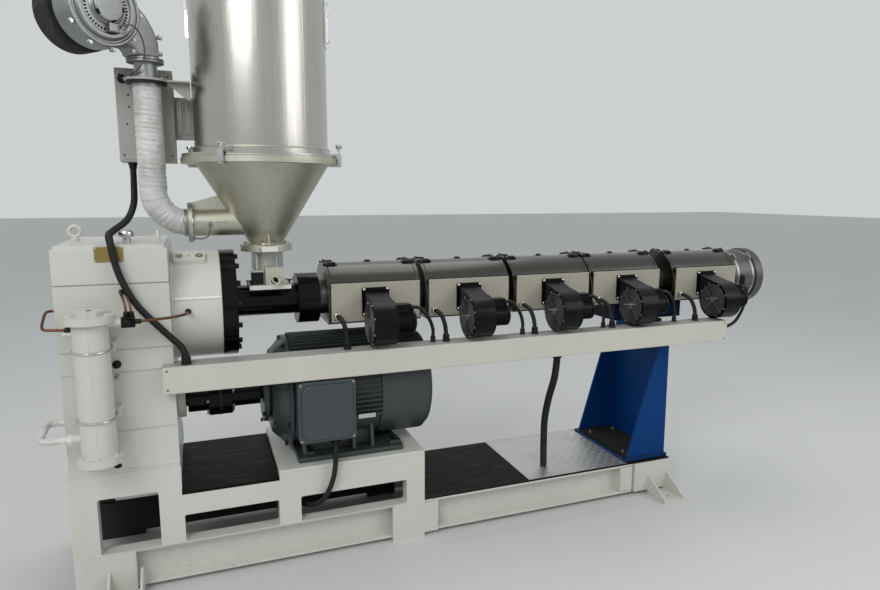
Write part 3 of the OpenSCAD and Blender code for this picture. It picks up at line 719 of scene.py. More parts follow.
@dataclass(frozen=True)
class Steel(Finish):
    """Bare metal: a fine grain drawn out where grain is below 1, cloudy stains and small spots; coat is oil."""

    rough: float = 0.3
    grain: tuple[float, float, float] = (1.0, 1.0, 0.02)
    stain: float = 0.35
    depth: float = 0.00006
    coat: float = 0.0

    def dress(self, graph: Graph) -> Material:
        """Mixes grain and stains.

        Args:
            graph: graph of the new material.

        Returns:
            The material.
        """
        lines = graph.noise(900.0, 2, 0.6, self.grain)
        bands = graph.noise(60.0, 3, 0.6, self.grain, shift=2.0)
        cloud = graph.noise(6.0, 5, 0.6, shift=4.0).step(0.38, 0.72)
        spots = graph.noise(95.0, 4, 0.65, shift=7.0).step(0.64, 0.74)
        dull = self.shaded(0.62)
        metal = graph.blend((cloud * 0.6 + spots * 0.5).capped() * self.stain, self.colour, dull)
        metal = graph.blend(bands.step(0.35, 0.7) * 0.22, metal, dull)
        rough = self.rough + bands * 0.12 + cloud * 0.1 * self.stain + lines * 0.05 - 0.1
        return graph.surface({"Base Color": metal, "Metallic": 1.0, "Roughness": rough.capped(),
                              "Coat Weight": self.coat, "Coat Roughness": 0.2,
                              "Normal": graph.bump(lines, self.depth, 0.6)})


@dataclass(frozen=True)
class Plastic(Finish):
    """Moulded plastic, rubber or blackened steel: faint dust on top faces, fine grain and scuffs."""

    rough: float = 0.45
    dust: float = 0.25
    grain: float = 380.0
    depth: float = 0.00012
    metal: float = 0.0
    coat: float = 0.0
    gloss: float = 0.3

    def dress(self, graph: Graph) -> Material:
        """Mixes the base with dust and scuffs.

        Args:
            graph: graph of the new material.

        Returns:
            The material.
        """
        cloud = graph.noise(14.0, 4, 0.6).step(0.4, 0.72)
        upward = graph.facing(Z).step(0.25, 0.95)
        speck = graph.noise(160.0, 3, 0.6, shift=2.0).step(0.5, 0.75)
        dust = (upward * (0.35 + 0.65 * speck) * self.dust + cloud * 0.12 * self.dust).capped()
        scuff = graph.noise(75.0, 4, 0.7, shift=6.0).step(0.63, 0.72) * graph.edge()
        base = graph.blend(cloud * 0.35, self.colour, self.shaded(1.4, 0.003))
        base = graph.blend(dust, base, tone(150, 146, 138))
        base = graph.blend(scuff * 0.5, base, tone(120, 118, 112))
        return graph.surface({
            "Base Color": base, "Roughness": (self.rough + dust * 0.35 + cloud * 0.08).capped(),
            "Metallic": self.metal, "Coat Weight": self.coat, "Coat Roughness": 0.12,
            "Specular IOR Level": self.gloss,
            "Normal": graph.bump(graph.noise(self.grain, 2, 0.6, shift=3.0), self.depth, 0.6)})


@dataclass(frozen=True)
class Foam(Finish):
    """Open-pored filter foam: small round holes, darkened inside with painted shade."""

    def dress(self, graph: Graph) -> Material:
        """Mixes pores and dust.

        Args:
            graph: graph of the new material.

        Returns:
            The material.
        """
        pores = graph.cells(330.0).step(0.1, 0.55)
        dust = graph.noise(30.0, 4, 0.6).step(0.45, 0.75)
        # Painted shade: the colour darkens towards the middle of each pore.
        base = graph.blend(pores, self.shaded(0.3), self.colour)
        base = graph.blend(dust * 0.3, base, tone(92, 92, 94))
        return graph.surface({"Base Color": base, "Roughness": 0.95, "Normal": graph.bump(pores, 0.0018, 1.0)})


@dataclass(frozen=True)
class Clear(Finish):
    """Clear acrylic, a little clouded by rubbing."""

    def dress(self, graph: Graph) -> Material:
        """Mixes a clear and a clouded sheet.

        Args:
            graph: graph of the new material.

        Returns:
            The material.
        """
        haze = graph.noise(24.0, 4, 0.6).step(0.4, 0.75)
        return graph.surface({
            "Base Color": graph.blend(haze * 0.4, self.colour, tone(205, 208, 204)), "Roughness": haze * 0.18 + 0.05,
            "Transmission Weight": 0.86, "IOR": 1.2, "Alpha": haze * 0.25 + 0.42})


@dataclass(frozen=True)
class Wrap(Finish):
    """Glossy tape wound round a pipe: pale, crinkled, with a silver sheen in its folds."""

    sheen: float = 0.35

    def dress(self, graph: Graph) -> Material:
        """Mixes tape and crinkles.

        Args:
            graph: graph of the new material.

        Returns:
            The material.
        """
        crease = graph.noise(70.0, 4, 0.62, (1, 1, 3.0))
        broad = graph.noise(9.0, 4, 0.6, shift=2.0).step(0.35, 0.75)
        soil = graph.noise(33.0, 4, 0.6, shift=8.0).step(0.55, 0.8)
        base = graph.blend(broad * 0.5, self.colour, tone(150, 150, 146))
        base = graph.blend(soil * 0.5, base, tone(118, 112, 100))
        return graph.surface({
            "Base Color": base, "Roughness": (crease * 0.25 + 0.22).capped(), "Metallic": broad * self.sheen,
            "Normal": graph.bump(crease, 0.0026, 0.9)})


@dataclass(frozen=True)
class WornDeck(Finish):
    """Dark steel plate, rolled skin worn to brown and grey, with rub marks along it."""

    rough: float = 0.55

    def dress(self, graph: Graph) -> Material:
        """Mixes scale, rust and rubbed metal.

        Args:
            graph: graph of the new material.

        Returns:
            The material.
        """
        cloud = graph.noise(5.5, 5, 0.62).step(0.35, 0.7)
        rubs = graph.noise(38.0, 4, 0.65, (0.25, 1, 1), shift=2.0).step(0.5, 0.76)
        rust = graph.noise(21.0, 5, 0.7, shift=6.0).step(0.56, 0.76)
        base = graph.blend(cloud, self.colour, tone(27, 24, 22))
        base = graph.blend(rust * 0.25, base, tone(56, 43, 35))
        base = graph.blend(rubs * 0.14, base, tone(84, 80, 76))
        grit = graph.noise(300.0, 3, 0.7, shift=1.0)
        return graph.surface({
            "Base Color": base, "Metallic": rubs * 0.1, "Specular IOR Level": 0.08,
            "Roughness": (self.rough + rust * 0.25 - rubs * 0.16).capped(),
            "Normal": graph.bump(grit - rust * 0.4, 0.0005, 0.7)})


# The machine paint carries painted shade inside the base's bays.
MACHINE_PAINT = Paint("machine_paint", "machine_paint", tone(206, 207, 199), rough=0.4, dirt=0.2, chips=0.5,
                      low_dirt=0.18, painted_shade_inside=True)
UPPER_PAINT = Paint("gearbox_paint", "machine_paint", tone(204, 205, 197), rough=0.38, dirt=0.3, chips=0.3)
# A lighter copy of the gearbox paint for the long weld bead: a painted highlight.
WELD_HIGHLIGHT_PAINT = Paint("weld_painted_highlight", "machine_paint", tone(234, 235, 230), rough=0.28, dirt=0.15, chips=0.2)
TRAY_PAINT = Paint("duct_paint", "machine_paint", tone(201, 199, 190), rough=0.36, dirt=0.3, chips=0.35)
BOX_PAINT = Paint("box_paint", "machine_paint", tone(164, 164, 158), rough=0.45, dirt=0.3, chips=0.2)
PANEL_PAINT = Paint("panel_paint", "panel_paint", tone(170, 166, 152), rough=0.3, dirt=0.35, chips=0.15, coat=0.2)
# The blue paint carries painted shade on the column's head above 0.83 m.
BLUE_PAINT = Paint("blue_paint", "blue_paint", tone(1, 56, 116), rough=0.4, dirt=0.2, chips=0.5, coat=0.0, gloss=0.12,
                   painted_shade_above=0.83)
MOTOR_PAINT = Paint("motor_paint", "motor_paint", tone(52, 59, 61), rough=0.42, dirt=0.4, chips=0.25)
MOTOR_LID = Paint("motor_lid_paint", "motor_paint", tone(57, 65, 68), rough=0.36, dirt=0.3, chips=0.25)
WORN_PLATE = WornDeck("worn_plate", "worn_plate", tone(17, 15, 14))
CHECKER = Steel("checker_plate", "worn_plate", tone(206, 207, 204), rough=0.44, grain=(1, 1, 1), stain=0.5)
BRIGHT = Steel("bright_fittings", "bright_fittings", tone(205, 205, 202), rough=0.24, grain=(1, 1, 1))
ZINC = Steel("zinc_plated", "bright_fittings", tone(168, 168, 164), rough=0.38, grain=(1, 1, 1), stain=0.6)
GROUND = Paint("ground_edge", "bright_fittings", tone(222, 221, 214), rough=0.3, dirt=0.3, chips=0.2)
BRASS = Steel("brass_plate", "bright_fittings", tone(166, 146, 92), rough=0.34, grain=(0.02, 1, 1))
TURNED = Steel("turned_steel", "turned_steel", tone(106, 105, 104), rough=0.45, grain=(0.02, 1, 1), stain=0.6)
BLACK_OXIDE = Plastic("black_oxide", "black_oxide", tone(4, 5, 6), rough=0.17, dust=0.01, coat=0.12,
                      gloss=0.12)
BLACK_SCREW = Plastic("black_screw", "black_oxide", tone(14, 14, 15), rough=0.34, dust=0.08, metal=0.3)
CREAM_CAST = Paint("cast_magnet_body", "cast_magnet_body", tone(186, 182, 168), rough=0.5, dirt=0.7, chips=0.25)
ACRYLIC = Clear("clear_acrylic", "clear_acrylic", tone(232, 236, 232))
SATIN_STEEL = Steel("hopper_satin", "hopper_steel", tone(196, 194, 180), rough=0.46, grain=(1, 1, 0.05), stain=0.4)
POLISHED = Steel("hopper_polished", "hopper_steel", tone(190, 187, 182), rough=0.24, grain=(1, 1, 0.004), stain=0.2,
                 depth=0.0003)
TAPE = Wrap("hose_wrap", "hose_wrap", tone(212, 213, 210), sheen=0.2)
WHITE_TAPE = Wrap("white_pipe", "white_pipe", tone(222, 221, 214), sheen=0.05)
CAST = Steel("cast_blower", "cast_blower", tone(160, 162, 162), rough=0.42, grain=(1, 1, 1), stain=0.4,
             depth=0.0002)
FOAM = Foam("filter_foam", "filter_foam", tone(44, 43, 49))
COPPER = Steel("copper_pipe", "copper_pipe", tone(118, 82, 66), rough=0.36, grain=(1, 1, 1), stain=0.9)
COVER_STEEL = Steel("zone_cover", "zone_cover", tone(66, 63, 58), rough=0.34, grain=(0.01, 1, 1), stain=0.6,
                    coat=0.8)
BLOWER = Plastic("blower_black", "blower_black", tone(4, 4, 5), rough=0.28, dust=0.02, coat=0.1,
                 gloss=0.12)
RUBBER = Plastic("conduit_black", "conduit_black", tone(14, 14, 16), rough=0.45, dust=0.15)
# Near-black standing in for the shade in holes, gaps, slots and openings: painted shade.
PAINTED_SHADE = Plastic("painted_shade_inside", "black_oxide", tone(7, 7, 8), rough=0.7, dust=0.1)
GREY_LEAD = Plastic("grey_lead", "conduit_black", tone(92, 92, 90), rough=0.5, dust=0.2)


# Making pieces

# Softened nodes: points nearer than MERGE metres are one, faces within FLAT_DEGREES become one, and edges
# sharper than SHARP_DEGREES are rounded.
MERGE = 1e-5
FLAT_DEGREES = 0.8
SHARP_DEGREES = 32


def add_object(name: str, data: Any) -> Piece:
    """Puts an object into the scene.

    Args:
        name: the object's name.
        data: the mesh, lamp or camera that it holds.

    Returns:
        The object.
    """
    made = bpy.data.objects.new(name, data)
    bpy.context.scene.collection.objects.link(made)
    return made


def keep_flat(piece: Piece) -> None:
    """Keeps the flat faces of a piece flat beside its rounded edges."""
    piece.modifiers.new("flat_faces", "WEIGHTED_NORMAL").keep_sharp = True


def attach(piece: Piece, finish: Finish, body: Body, stands_for: Sequence[str]) -> Piece:
    """Dresses a piece and places it in the model.

    Args:
        piece: the piece.
        finish: what it is made of.
        body: the rigid body that it rides on.
        stands_for: CAD nodes that it is shown in place of.

    Returns:
        The piece.
    """
    piece.data.materials.clear()
    piece.data.materials.append(finish.material())
    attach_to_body(piece, body.value)
    if stands_for:
        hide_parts(*stands_for)
    LOG.info("%-28s %7d faces, %s", piece.name, len(piece.data.polygons), finish.name)
    return piece


def make(name: str, shape: Shape, finish: Finish, body: Body = Body.MACHINE,
         stands_for: Sequence[str] = (), bevel: float = 0.0, angle: float = 35.0) -> Piece:
    """Makes a mesh object from a shape.

    Args:
        name: the piece's name.
        shape: its form in millimetres from the datum.
        finish: what it is made of.
        body: the rigid body that it rides on.
        stands_for: CAD nodes that it is shown in place of.
        bevel: width in millimetres of the rounding of its edges, or 0.
        angle: edges sharper than this many degrees stay sharp, or are rounded.

    Returns:
        The object, with its place in its mesh.
    """
    mesh = bpy.data.meshes.new(name)
    points = shape.points / 1000.0 + DATUM
    mesh.vertices.add(len(points))
    mesh.vertices.foreach_set("co", points.astype(np.float32).ravel())
    mesh.loops.add(len(shape.loops))
    mesh.loops.foreach_set("vertex_index", shape.loops.astype(np.int32))
    mesh.polygons.add(len(shape.sizes))
    starts = np.concatenate([[0], np.cumsum(shape.sizes)[:-1]])
    mesh.polygons.foreach_set("loop_start", starts.astype(np.int32))
    mesh.update(calc_edges=True)
    mesh.shade_smooth()
    piece = add_object(name, mesh)
    if bevel:
        rounding = piece.modifiers.new("rounded_edges", "BEVEL")
        rounding.width = bevel / 1000.0
        rounding.segments = 2
        rounding.limit_method = "ANGLE"
        rounding.angle_limit = math.radians(angle)
        rounding.use_clamp_overlap = True
        keep_flat(piece)
    else:
        mesh.set_sharp_from_angle(angle=math.radians(angle))
    return attach(piece, finish, body, stands_for)


def softened(node: str, finish: Finish, bevel: float = 1.5, body: Body = Body.MACHINE) -> Piece:
    """Makes a copy of a CAD node with rounded edges that carry a wear mark.

    Args:
        node: the CAD node.
        finish: what it is made of.
        bevel: width in millimetres of the rounding.
        body: the rigid body that it rides on.

    Returns:
        The copy, shown in place of the node; its attribute edge is 1 on the rounded edges.
    """
    mesh = bpy.data.meshes.new(node + "_dressed")
    work = bmesh.new()
    work.from_mesh(frame["nodes"][node].data)
    bmesh.ops.remove_doubles(work, verts=work.verts, dist=MERGE)
    bmesh.ops.dissolve_limit(work, angle_limit=math.radians(FLAT_DEGREES), verts=work.verts, edges=work.edges)
    mark = work.faces.layers.float.new("edge")
    sharp = [e for e in work.edges if e.is_manifold and e.calc_face_angle(0.0) > math.radians(SHARP_DEGREES)]
    rounded_faces = bmesh.ops.bevel(work, geom=sharp, offset=bevel / 1000.0, offset_type="OFFSET", segments=2,
                                    profile=0.5, affect="EDGES", clamp_overlap=True)["faces"]
    for face in rounded_faces:
        face[mark] = 1.0
    work.to_mesh(mesh)
    work.free()
    mesh.shade_smooth()
    piece = add_object(node + "_dressed", mesh)
    keep_flat(piece)
    return attach(piece, finish, body, [node])


def dress_node(node: str, finish: Finish) -> None:
    """Gives a CAD node that is shown as it is a better material.

    Args:
        node: the CAD node.
        finish: what it is made of.
    """
    data = frame["nodes"][node].data
    data.materials.clear()
    data.materials.append(finish.material())
    LOG.info("%-28s carried over, %s", node, finish.name)


def front_fitting(profile: Points, x: float, z: float, y: float = FRONT_Y,
                  sides: int = 32) -> Shape:
    """A turned fitting that faces the viewer: its distance runs from the face towards -y."""
    return lathe(profile, (0, 0, 0), Y, sides).mirrored(Y).moved(x, y, z)


# The sub-assemblies

@dataclass
class BaseFrame:
    """The welded base with its plates, channels and anchor feet."""

    checker_x: tuple[float, float] = (1530.0, 2086.0)
    checker_z: tuple[float, float] = (175.8, 177.6)
    checker_pitch: float = 27.0
    bead_r: float = 2.2

    def frames(self) -> None:
        """Side frames, channels, plates and feet with rounded, worn edges; their paint carries painted shade inside
        the base's bays.
        """
        for node in ("front_side_frame", "back_side_frame", "front_channel", "back_channel", "base_plates",
                     "end_beam", "anchor_feet"):
            softened(node, MACHINE_PAINT, 2.0)
        softened("deck_plates", WORN_PLATE, 1.2)

    def welds(self) -> None:
        """Beads along the leg plates, the posts and the anchor brackets, front and back."""
        lines = [(-385, 170, -177, 170), (849, 170, 996, 170), (-177, 24, -177, 168), (849, 24, 849, 168),
                 (0, 398, 0, 488), (372, 398, 994, 398), (-383, 491, -2, 491)]
        lines += [(x, 16, x, 98) for x in (-277, -153, 2214, 2338)]
        beads = joined([weld((x, FRONT_Y, z), (end_x, FRONT_Y, end_z), self.bead_r, (0.3, 1, 0.2), i)
                        for i, (x, z, end_x, end_z) in enumerate(lines)])
        make("frame_welds", beads.both_sides(), MACHINE_PAINT)

    def checker(self) -> None:
        """Checker plate on the low frame: a thin plate with raised lozenges, laid alternately at 45 degrees."""
        low, high = self.checker_x
        under, top = self.checker_z
        plate = slab((low, -250, under), (high, 250, top))
        pitch = self.checker_pitch
        x, y = np.meshgrid(np.arange(low + 16, high - 12, pitch), np.arange(-236, 240, pitch))
        x, y = x.ravel(), y.ravel()
        lean = np.where((np.round((x - low) / pitch) + np.round((y + 236) / pitch)) % 2, 1.0, -1.0)
        corners = np.array([[-11, 0, 0], [0, -3.4, 0], [11, 0, 0], [0, 3.4, 0], [-7, 0, 1.3], [0, -1.6, 1.3],
                            [7, 0, 1.3], [0, 1.6, 1.3]])
        c, s = math.sqrt(0.5), lean[:, None] * math.sqrt(0.5)
        points = np.stack([x[:, None] + c * corners[:, 0] - s * corners[:, 1],
                           y[:, None] + s * corners[:, 0] + c * corners[:, 1],
                           np.broadcast_to(top - 0.2 + corners[:, 2], (len(x), 8))], axis=-1)
        faces = np.array([[0, 1, 5, 4], [1, 2, 6, 5], [2, 3, 7, 6], [3, 0, 4, 7], [4, 5, 6, 7]])
        loops = (faces.ravel() + 8 * np.arange(len(x))[:, None]).ravel()
        lozenges = Shape(points.reshape(-1, 3), loops, np.full(5 * len(x), 4))
        make("checker_plate", plate + lozenges, CHECKER)

    def build(self) -> None:
        """Builds the base."""
        self.frames()
        self.welds()
        self.checker()


@dataclass
class Gearbox:
    """Gearbox casing, its lid, its fittings and the thrust bearing housing."""

    length: float = 375.0
    top: float = 1340.0
    thrust_r: float = 217.0
    lift_turn: float = 27.0
    eye_x: float = -336.0
    eye_y: float = 30.0
    valve_x: float = -191.0

    def casing(self) -> None:
        """Casing and cover with weld seams."""
        softened("gearbox_case", UPPER_PAINT, 2.5)
        softened("gearbox_cover", UPPER_PAINT, 3.0)
        seams = [weld((-self.length + 2, FRONT_Y + 2, z), (-2, FRONT_Y + 2, z), 2.4, (0, 1, 0.2), 40 + i)
                 for i, z in enumerate((654, 877, 961))]
        corner = weld((-1.5, FRONT_Y + 1.5, 505), (-1.5, FRONT_Y + 1.5, 1196), 2.0, (0.4, 1, 0), 44)
        make("gearbox_welds", joined(seams) + corner, UPPER_PAINT)
        foot = weld((-374, FRONT_Y, 504), (-1, FRONT_Y, 504), 3.0, (0, 1, 0.2), 45)
        make("gearbox_foot_weld", foot, MACHINE_PAINT)

    def plate(self) -> None:
        """Bare name plate on four rivets."""
        face = FRONT_Y - 1.2
        outline = rounded((-237, 1281), (-143.5, 1335), 3)
        make("bare_name_plate", extruded(outline, Y, face, 1.3), BRASS, bevel=0.3)
        rivet = front_fitting([(0, 2.2), (1.0, 2.0), (1.6, 0.9)], 0, 0, face, 12)
        rivets = rivet.repeated([(x, 0, z) for x in (-232, -148.5) for z in (1286, 1330)])
        make("name_plate_rivets", rivets, BRIGHT)

    def fittings(self) -> None:
        """Breather, dipstick, lifting eye and sight valve."""
        breather = lathe([(0, 13), (6, 13), (6, 16), (16, 16), (16, 12), (22, 12), (22, 25), (24, 26), (40, 26),
                          (46, 22), (48, 10)], (-140, -150, self.top), Z, 32)
        make("breather", breather, BRIGHT, stands_for=["gearbox_fittings"])
        stick = lathe([(0, 12), (3, 12), (5, 9), (38, 9), (42, 7), (44, 3)], (-36, -85, self.top), Z, 24)
        a = turns(40)
        loop = np.stack([20 * np.cos(a) + self.eye_x, 0 * a + self.eye_y, self.top + 36 + 20 * np.sin(a)], axis=1)
        foot = lathe([(0, 18), (6, 18), (10, 11), (16, 9)], (self.eye_x, self.eye_y, self.top), Z, 24)
        eye = tube(loop, 7.5, (0.02, 1, 0), 12, closed=True) + foot
        make("dipstick_and_lifting_eye", stick + eye, UPPER_PAINT)
        x, z = self.valve_x, 908
        valve = front_fitting([(0, 15), (5, 15), (7, 13), (7, 10), (15, 9), (15, 12), (20, 12), (22, 9)], x, z)
        make("sight_valve", valve, BLACK_SCREW)
        lens = front_fitting([(4, 9.5), (8, 9), (9, 4)], x, z)
        tail = front_fitting([(0, 8), (10, 8), (12, 5)], x, z - 46)
        make("sight_valve_parts", lens + tail, ZINC)

    def thrust(self) -> None:
        """Thrust housing, its weld beads with the long one in a lighter paint as a painted highlight, dark discs of
        painted shade in the holes of its lifting plate, its washers and its oil port.
        """
        softened("thrust_housing", UPPER_PAINT, 2.5)
        count = 260
        chance = np.random.default_rng(11)
        turn = turns(count)
        ripple = self.thrust_r + 1.0 + 0.5 * chance.standard_normal(count)
        ring = np.stack([np.full(count, 3.0), ripple * np.cos(turn), AXIS_Z + ripple * np.sin(turn)], axis=1)
        joint = tube(ring, 3.4 + 0.5 * np.sin(np.arange(count) * RIPPLE), (1, 0.02, 0), 8, closed=True)
        along = weld((6, -self.thrust_r, AXIS_Z), (184, -self.thrust_r, AXIS_Z), 6.0, (0, 1, 0.2), 12)
        along = along.turned(X, -14, SCREW_LINE)
        make("thrust_housing_welds", joint, UPPER_PAINT)
        # The long bead's lighter paint is a painted highlight.
        make("thrust_housing_long_weld", along, WELD_HIGHLIGHT_PAINT)
        top = AXIS_Z + self.thrust_r
        hole = lathe([(0, 7.9), (0.5, 7.9)], (0, 0, top), Z, 24)
        holes = hole.repeated([(36, 0, 0), (110, 0, 0)]) + lathe([(13, 3.2), (14.3, 3)], (73, 0, top), Z, 16)
        # Dark discs in the plate's holes: painted shade.
        make("lifting_plate_hole_shade", holes.turned(X, self.lift_turn, SCREW_LINE), PAINTED_SHADE)
        ring = lathe([(13.6, 14), (15.6, 14), (15.6, 8.2), (13.6, 8.2)], (110, 0, top), Z, 32, ring=True)
        rings = (ring + ring.moved(-74)).turned(X, self.lift_turn, SCREW_LINE)
        make("lifting_plate_washers", rings, ZINC, bevel=0.4)
        nut = front_fitting([(0, 12), (12, 12), (14, 9), (22, 9)], 60, AXIS_Z + 5, -self.thrust_r + 1, 6)
        make("thrust_oil_port", nut, BLACK_SCREW, bevel=0.8)

    def build(self) -> None:
        """Builds the gearbox."""
        self.casing()
        self.plate()
        self.fittings()
        self.thrust()


@dataclass
class FeedSection:
    """Black flange and feed section with the throat that the hopper stands on."""

    flange_end: float = 243.3

    def steel(self) -> None:
        """Flange, tube and collar, with a ring of socket screws and a raised band."""
        softened("feed_section", BLACK_OXIDE, 2.5)
        screw = socket_bolt(10.5, 15, (self.flange_end, 0, AXIS_Z + 192), X)
        make("flange_screws", screw.ringed(X, SCREW_LINE, 14, 8), BLACK_SCREW)
        ring = lathe([(0, 66.5), (5, 66.5), (5, 65), (22, 65), (22, 66.5), (26, 66.5)], (466, 0, AXIS_Z), X, 48)
        make("feed_section_band", ring, BLACK_OXIDE)

    def throat(self) -> None:
        """Seat, casting with its bar, block, wing screws and mouth with a disc of painted shade in its bore, and the
        clear box with its rods and chute.
        """
        softened("feed_seat", CREAM_CAST, 2.5)
        bar = slab((296, -119.5, 1134), (462, -116, 1150.5))
        make("throat_front_bar", bar, GROUND, bevel=1)
        block = slab((306, -108, 1153), (354, -64, 1206))
        make("throat_black_block", block, BLACK_SCREW, bevel=3)
        wing = tube(smooth([(-13, 0, 9), (-9, 0, 3), (0, 0, 0), (9, 0, 3), (13, 0, 9)], 5), 2.4, (0, 1, 0), 8)
        stem = lathe([(-12, 3.5), (2, 3.5), (4, 5), (6, 3)], (0, 0, 0), Z, 12)
        wings = (wing + stem).repeated([(458, -94, 1166), (302, -94, 1166)])
        make("throat_wing_screws", wings, BLACK_SCREW)
        mouth = (392, 1174, -147)
        make("throat_mouth_rim", front_fitting([(0, 22), (5, 22.5), (5, 15.5), (-6, 14)], *mouth), CREAM_CAST)
        # A dark disc in the bore: painted shade.
        make("throat_mouth_bore_shade", front_fitting([(0, 15), (1.2, 14.6)], *mouth), PAINTED_SHADE)
        softened("sight_box", ACRYLIC, 0.8)
        rod = lathe([(0, 3.6), (133, 3.6)], (0, 0, 1153), Z, 12)
        corners = [(x, y, 0) for x in (326, 434) for y in (-48, 48)]
        make("sight_box_rods", rod.repeated(corners), ZINC)
        chute = lathe([(0, 44), (58, 38), (96, 38), (134, 47), (134, 45), (96, 36), (58, 36), (0, 42)],
                      (HOPPER_X, 0, 1153), Z, 40, ring=True)
        make("sight_box_chute", chute, GROUND)
        rims = joined([extruded(rounded((316, -58), (444, 58), 4), Z, z, 5) for z in (1151.8, 1282)])
        make("sight_box_frames", rims, ZINC, bevel=0.8)

    def build(self) -> None:
        """Builds the feed section."""
        self.steel()
        self.throat()


@dataclass
class Hopper:
    """Steel hopper with its slide gate, clamps, latch and hot air inlet."""

    x: float = HOPPER_X
    inlet_z: float = INLET_Z

    def shells(self) -> None:
        """Base, cone, cylinder and lid in steel, and the gate with its handle."""
        softened("hopper_base", SATIN_STEEL, 1.5)
        softened("hopper_gate", ZINC, 0.8, Body.GATE)
        lip = slab((self.x - 33, -136.5, 1290), (self.x + 33, -132.8, 1312))
        make("gate_handle", lip, WHITE_TAPE, Body.GATE, bevel=1)
        dress_node("hopper_cone", SATIN_STEEL)
        dress_node("hopper_cylinder", POLISHED)
        dress_node("hopper_lid", SATIN_STEEL)

    def rims(self) -> None:
        """Rolled rims on the clamped rings, the seams of the cylinder and the bolts of the base."""
        rolls = [hoop((self.x, 0, z), ring_r, wire_r, Z, 96)
                 for z, ring_r, wire_r in ((1647, 314, 6.5), (1667, 309, 6.5), (1699, 272, 4.0), (2466, 268, 5.0))]
        make("hopper_rims", joined(rolls), SATIN_STEEL)
        seam = tube([(self.x + 140, -225.6, z) for z in np.linspace(1702, 2458, 60)], 2.0, (1, 0, 0), 6)
        foot = hoop((self.x, 0, 1316), 67, 3.0, Z, 48)
        make("hopper_seams", seam + foot, SATIN_STEEL)
        bolt = hex_bolt(8, (self.x + 90, 0, 1314), Z)
        make("hopper_base_bolts", bolt.ringed(Z, (self.x, 0, 0), 8, 22.5), ZINC)
        rib = extruded([(118, 1314), (104, 1314), (70, 1318), (92, 1362)], Y, -2.5, 5)
        make("hopper_cone_ribs", rib.ringed(Z, (0, 0, 0), 2, 90).moved(self.x, 0, 0), SATIN_STEEL)

    def clamps(self) -> None:
        """Ring clamps: a hooked plate, a threaded rod and a cross handle or a wing knob."""
        hook = extruded([(296, 1630), (330, 1630), (334, 1636), (334, 1680), (330, 1686), (296, 1686), (296, 1676),
                         (322, 1676), (322, 1640), (296, 1640)], Y, -11, 22)
        rod = lathe([(0, 4), (34, 4), (34, 7), (46, 7), (48, 5)], (326, 0, 1660), Z, 12)
        handle = tube([(300, 0, 1704), (326, 0, 1704), (352, 0, 1704)], 4.5, (0, 0, 1), 10)
        knob = lathe([(0, 5), (4, 12), (12, 14), (18, 12), (20, 4)], (326, 0, 1700), Z, 8)
        with_handle = hook + rod + handle
        with_knob = hook + rod + knob
        places = [with_handle.turned(Z, -123), with_knob.turned(Z, -30), with_handle.turned(Z, 60),
                  with_knob.turned(Z, 150)]
        make("hopper_clamps", joined(places).moved(self.x, 0, 0), BRIGHT, bevel=0.8)

    def latch(self) -> None:
        """Long toggle latches on both sides of the cylinder: base strip, lever and wire loop."""
        strip = extruded(rounded((-13, 2105), (13, 2300), 6), X, 264, 4)
        lever = extruded([(268, 2130), (276, 2128), (284, 2136), (280, 2235), (268, 2240)], Y, -8, 16)
        wire = tube(smooth([(272, -7, 2225), (281, -7, 2262), (274, -7, 2288), (274, 7, 2288), (281, 7, 2262),
                            (272, 7, 2225)], 5), 2.2, (1, 0, 0.3), 8)
        latch = (strip + lever + wire).turned(Z, -14)
        both = joined([latch, latch.turned(Z, 180)]).moved(self.x, 0, 0)
        make("cylinder_latches", both, BRIGHT, bevel=0.8)

    def inlet(self) -> None:
        """Weld bead, gusset, joint ring and bolts of the hot air inlet."""
        gusset = extruded([(94, 1488), (94, 1458), (228, 1455), (192, 1514)], Y, -3, 6)
        make("inlet_gusset", gusset, SATIN_STEEL, bevel=0.8)
        ring = hoop((93, 0, self.inlet_z), 55, 2.6, X, 40)
        line = weld((94, -54, self.inlet_z + 3), (228, -54, self.inlet_z + 3), 2.0, (0, 1, 0.2), 60)
        make("inlet_welds", ring + line, BRIGHT)
        gasket = lathe([(76.4, 79), (81.2, 79), (81.2, 55), (76.4, 55)], (0, 0, self.inlet_z), X, 48, ring=True)
        make("inlet_gasket", gasket, CAST)
        bolt = hex_bolt(6.5, (93, 0, self.inlet_z + 70), X)
        make("inlet_bolts", bolt.ringed(X, (0, 0, self.inlet_z), 8, 12), ZINC)
        probe = front_fitting([(0, 9), (8, 9), (8, 6), (26, 6), (26, 8), (40, 8), (43, 5)], 158, self.inlet_z - 6, -50)
        make("inlet_probe", probe, ZINC)
        lead = tube(smooth([(158, -92, 1400), (157, -104, 1392), (150, -104, 1360), (128, -80, 1345), (90, -40, 1346),
                            (84, -10, 1352)], 8), 2.6, (0.3, 0, 1), 8)
        make("inlet_probe_lead", lead, GREY_LEAD)

    def build(self) -> None:
        """Builds the hopper."""
        self.shells()
        self.rims()
        self.clamps()
        self.latch()
        self.inlet()


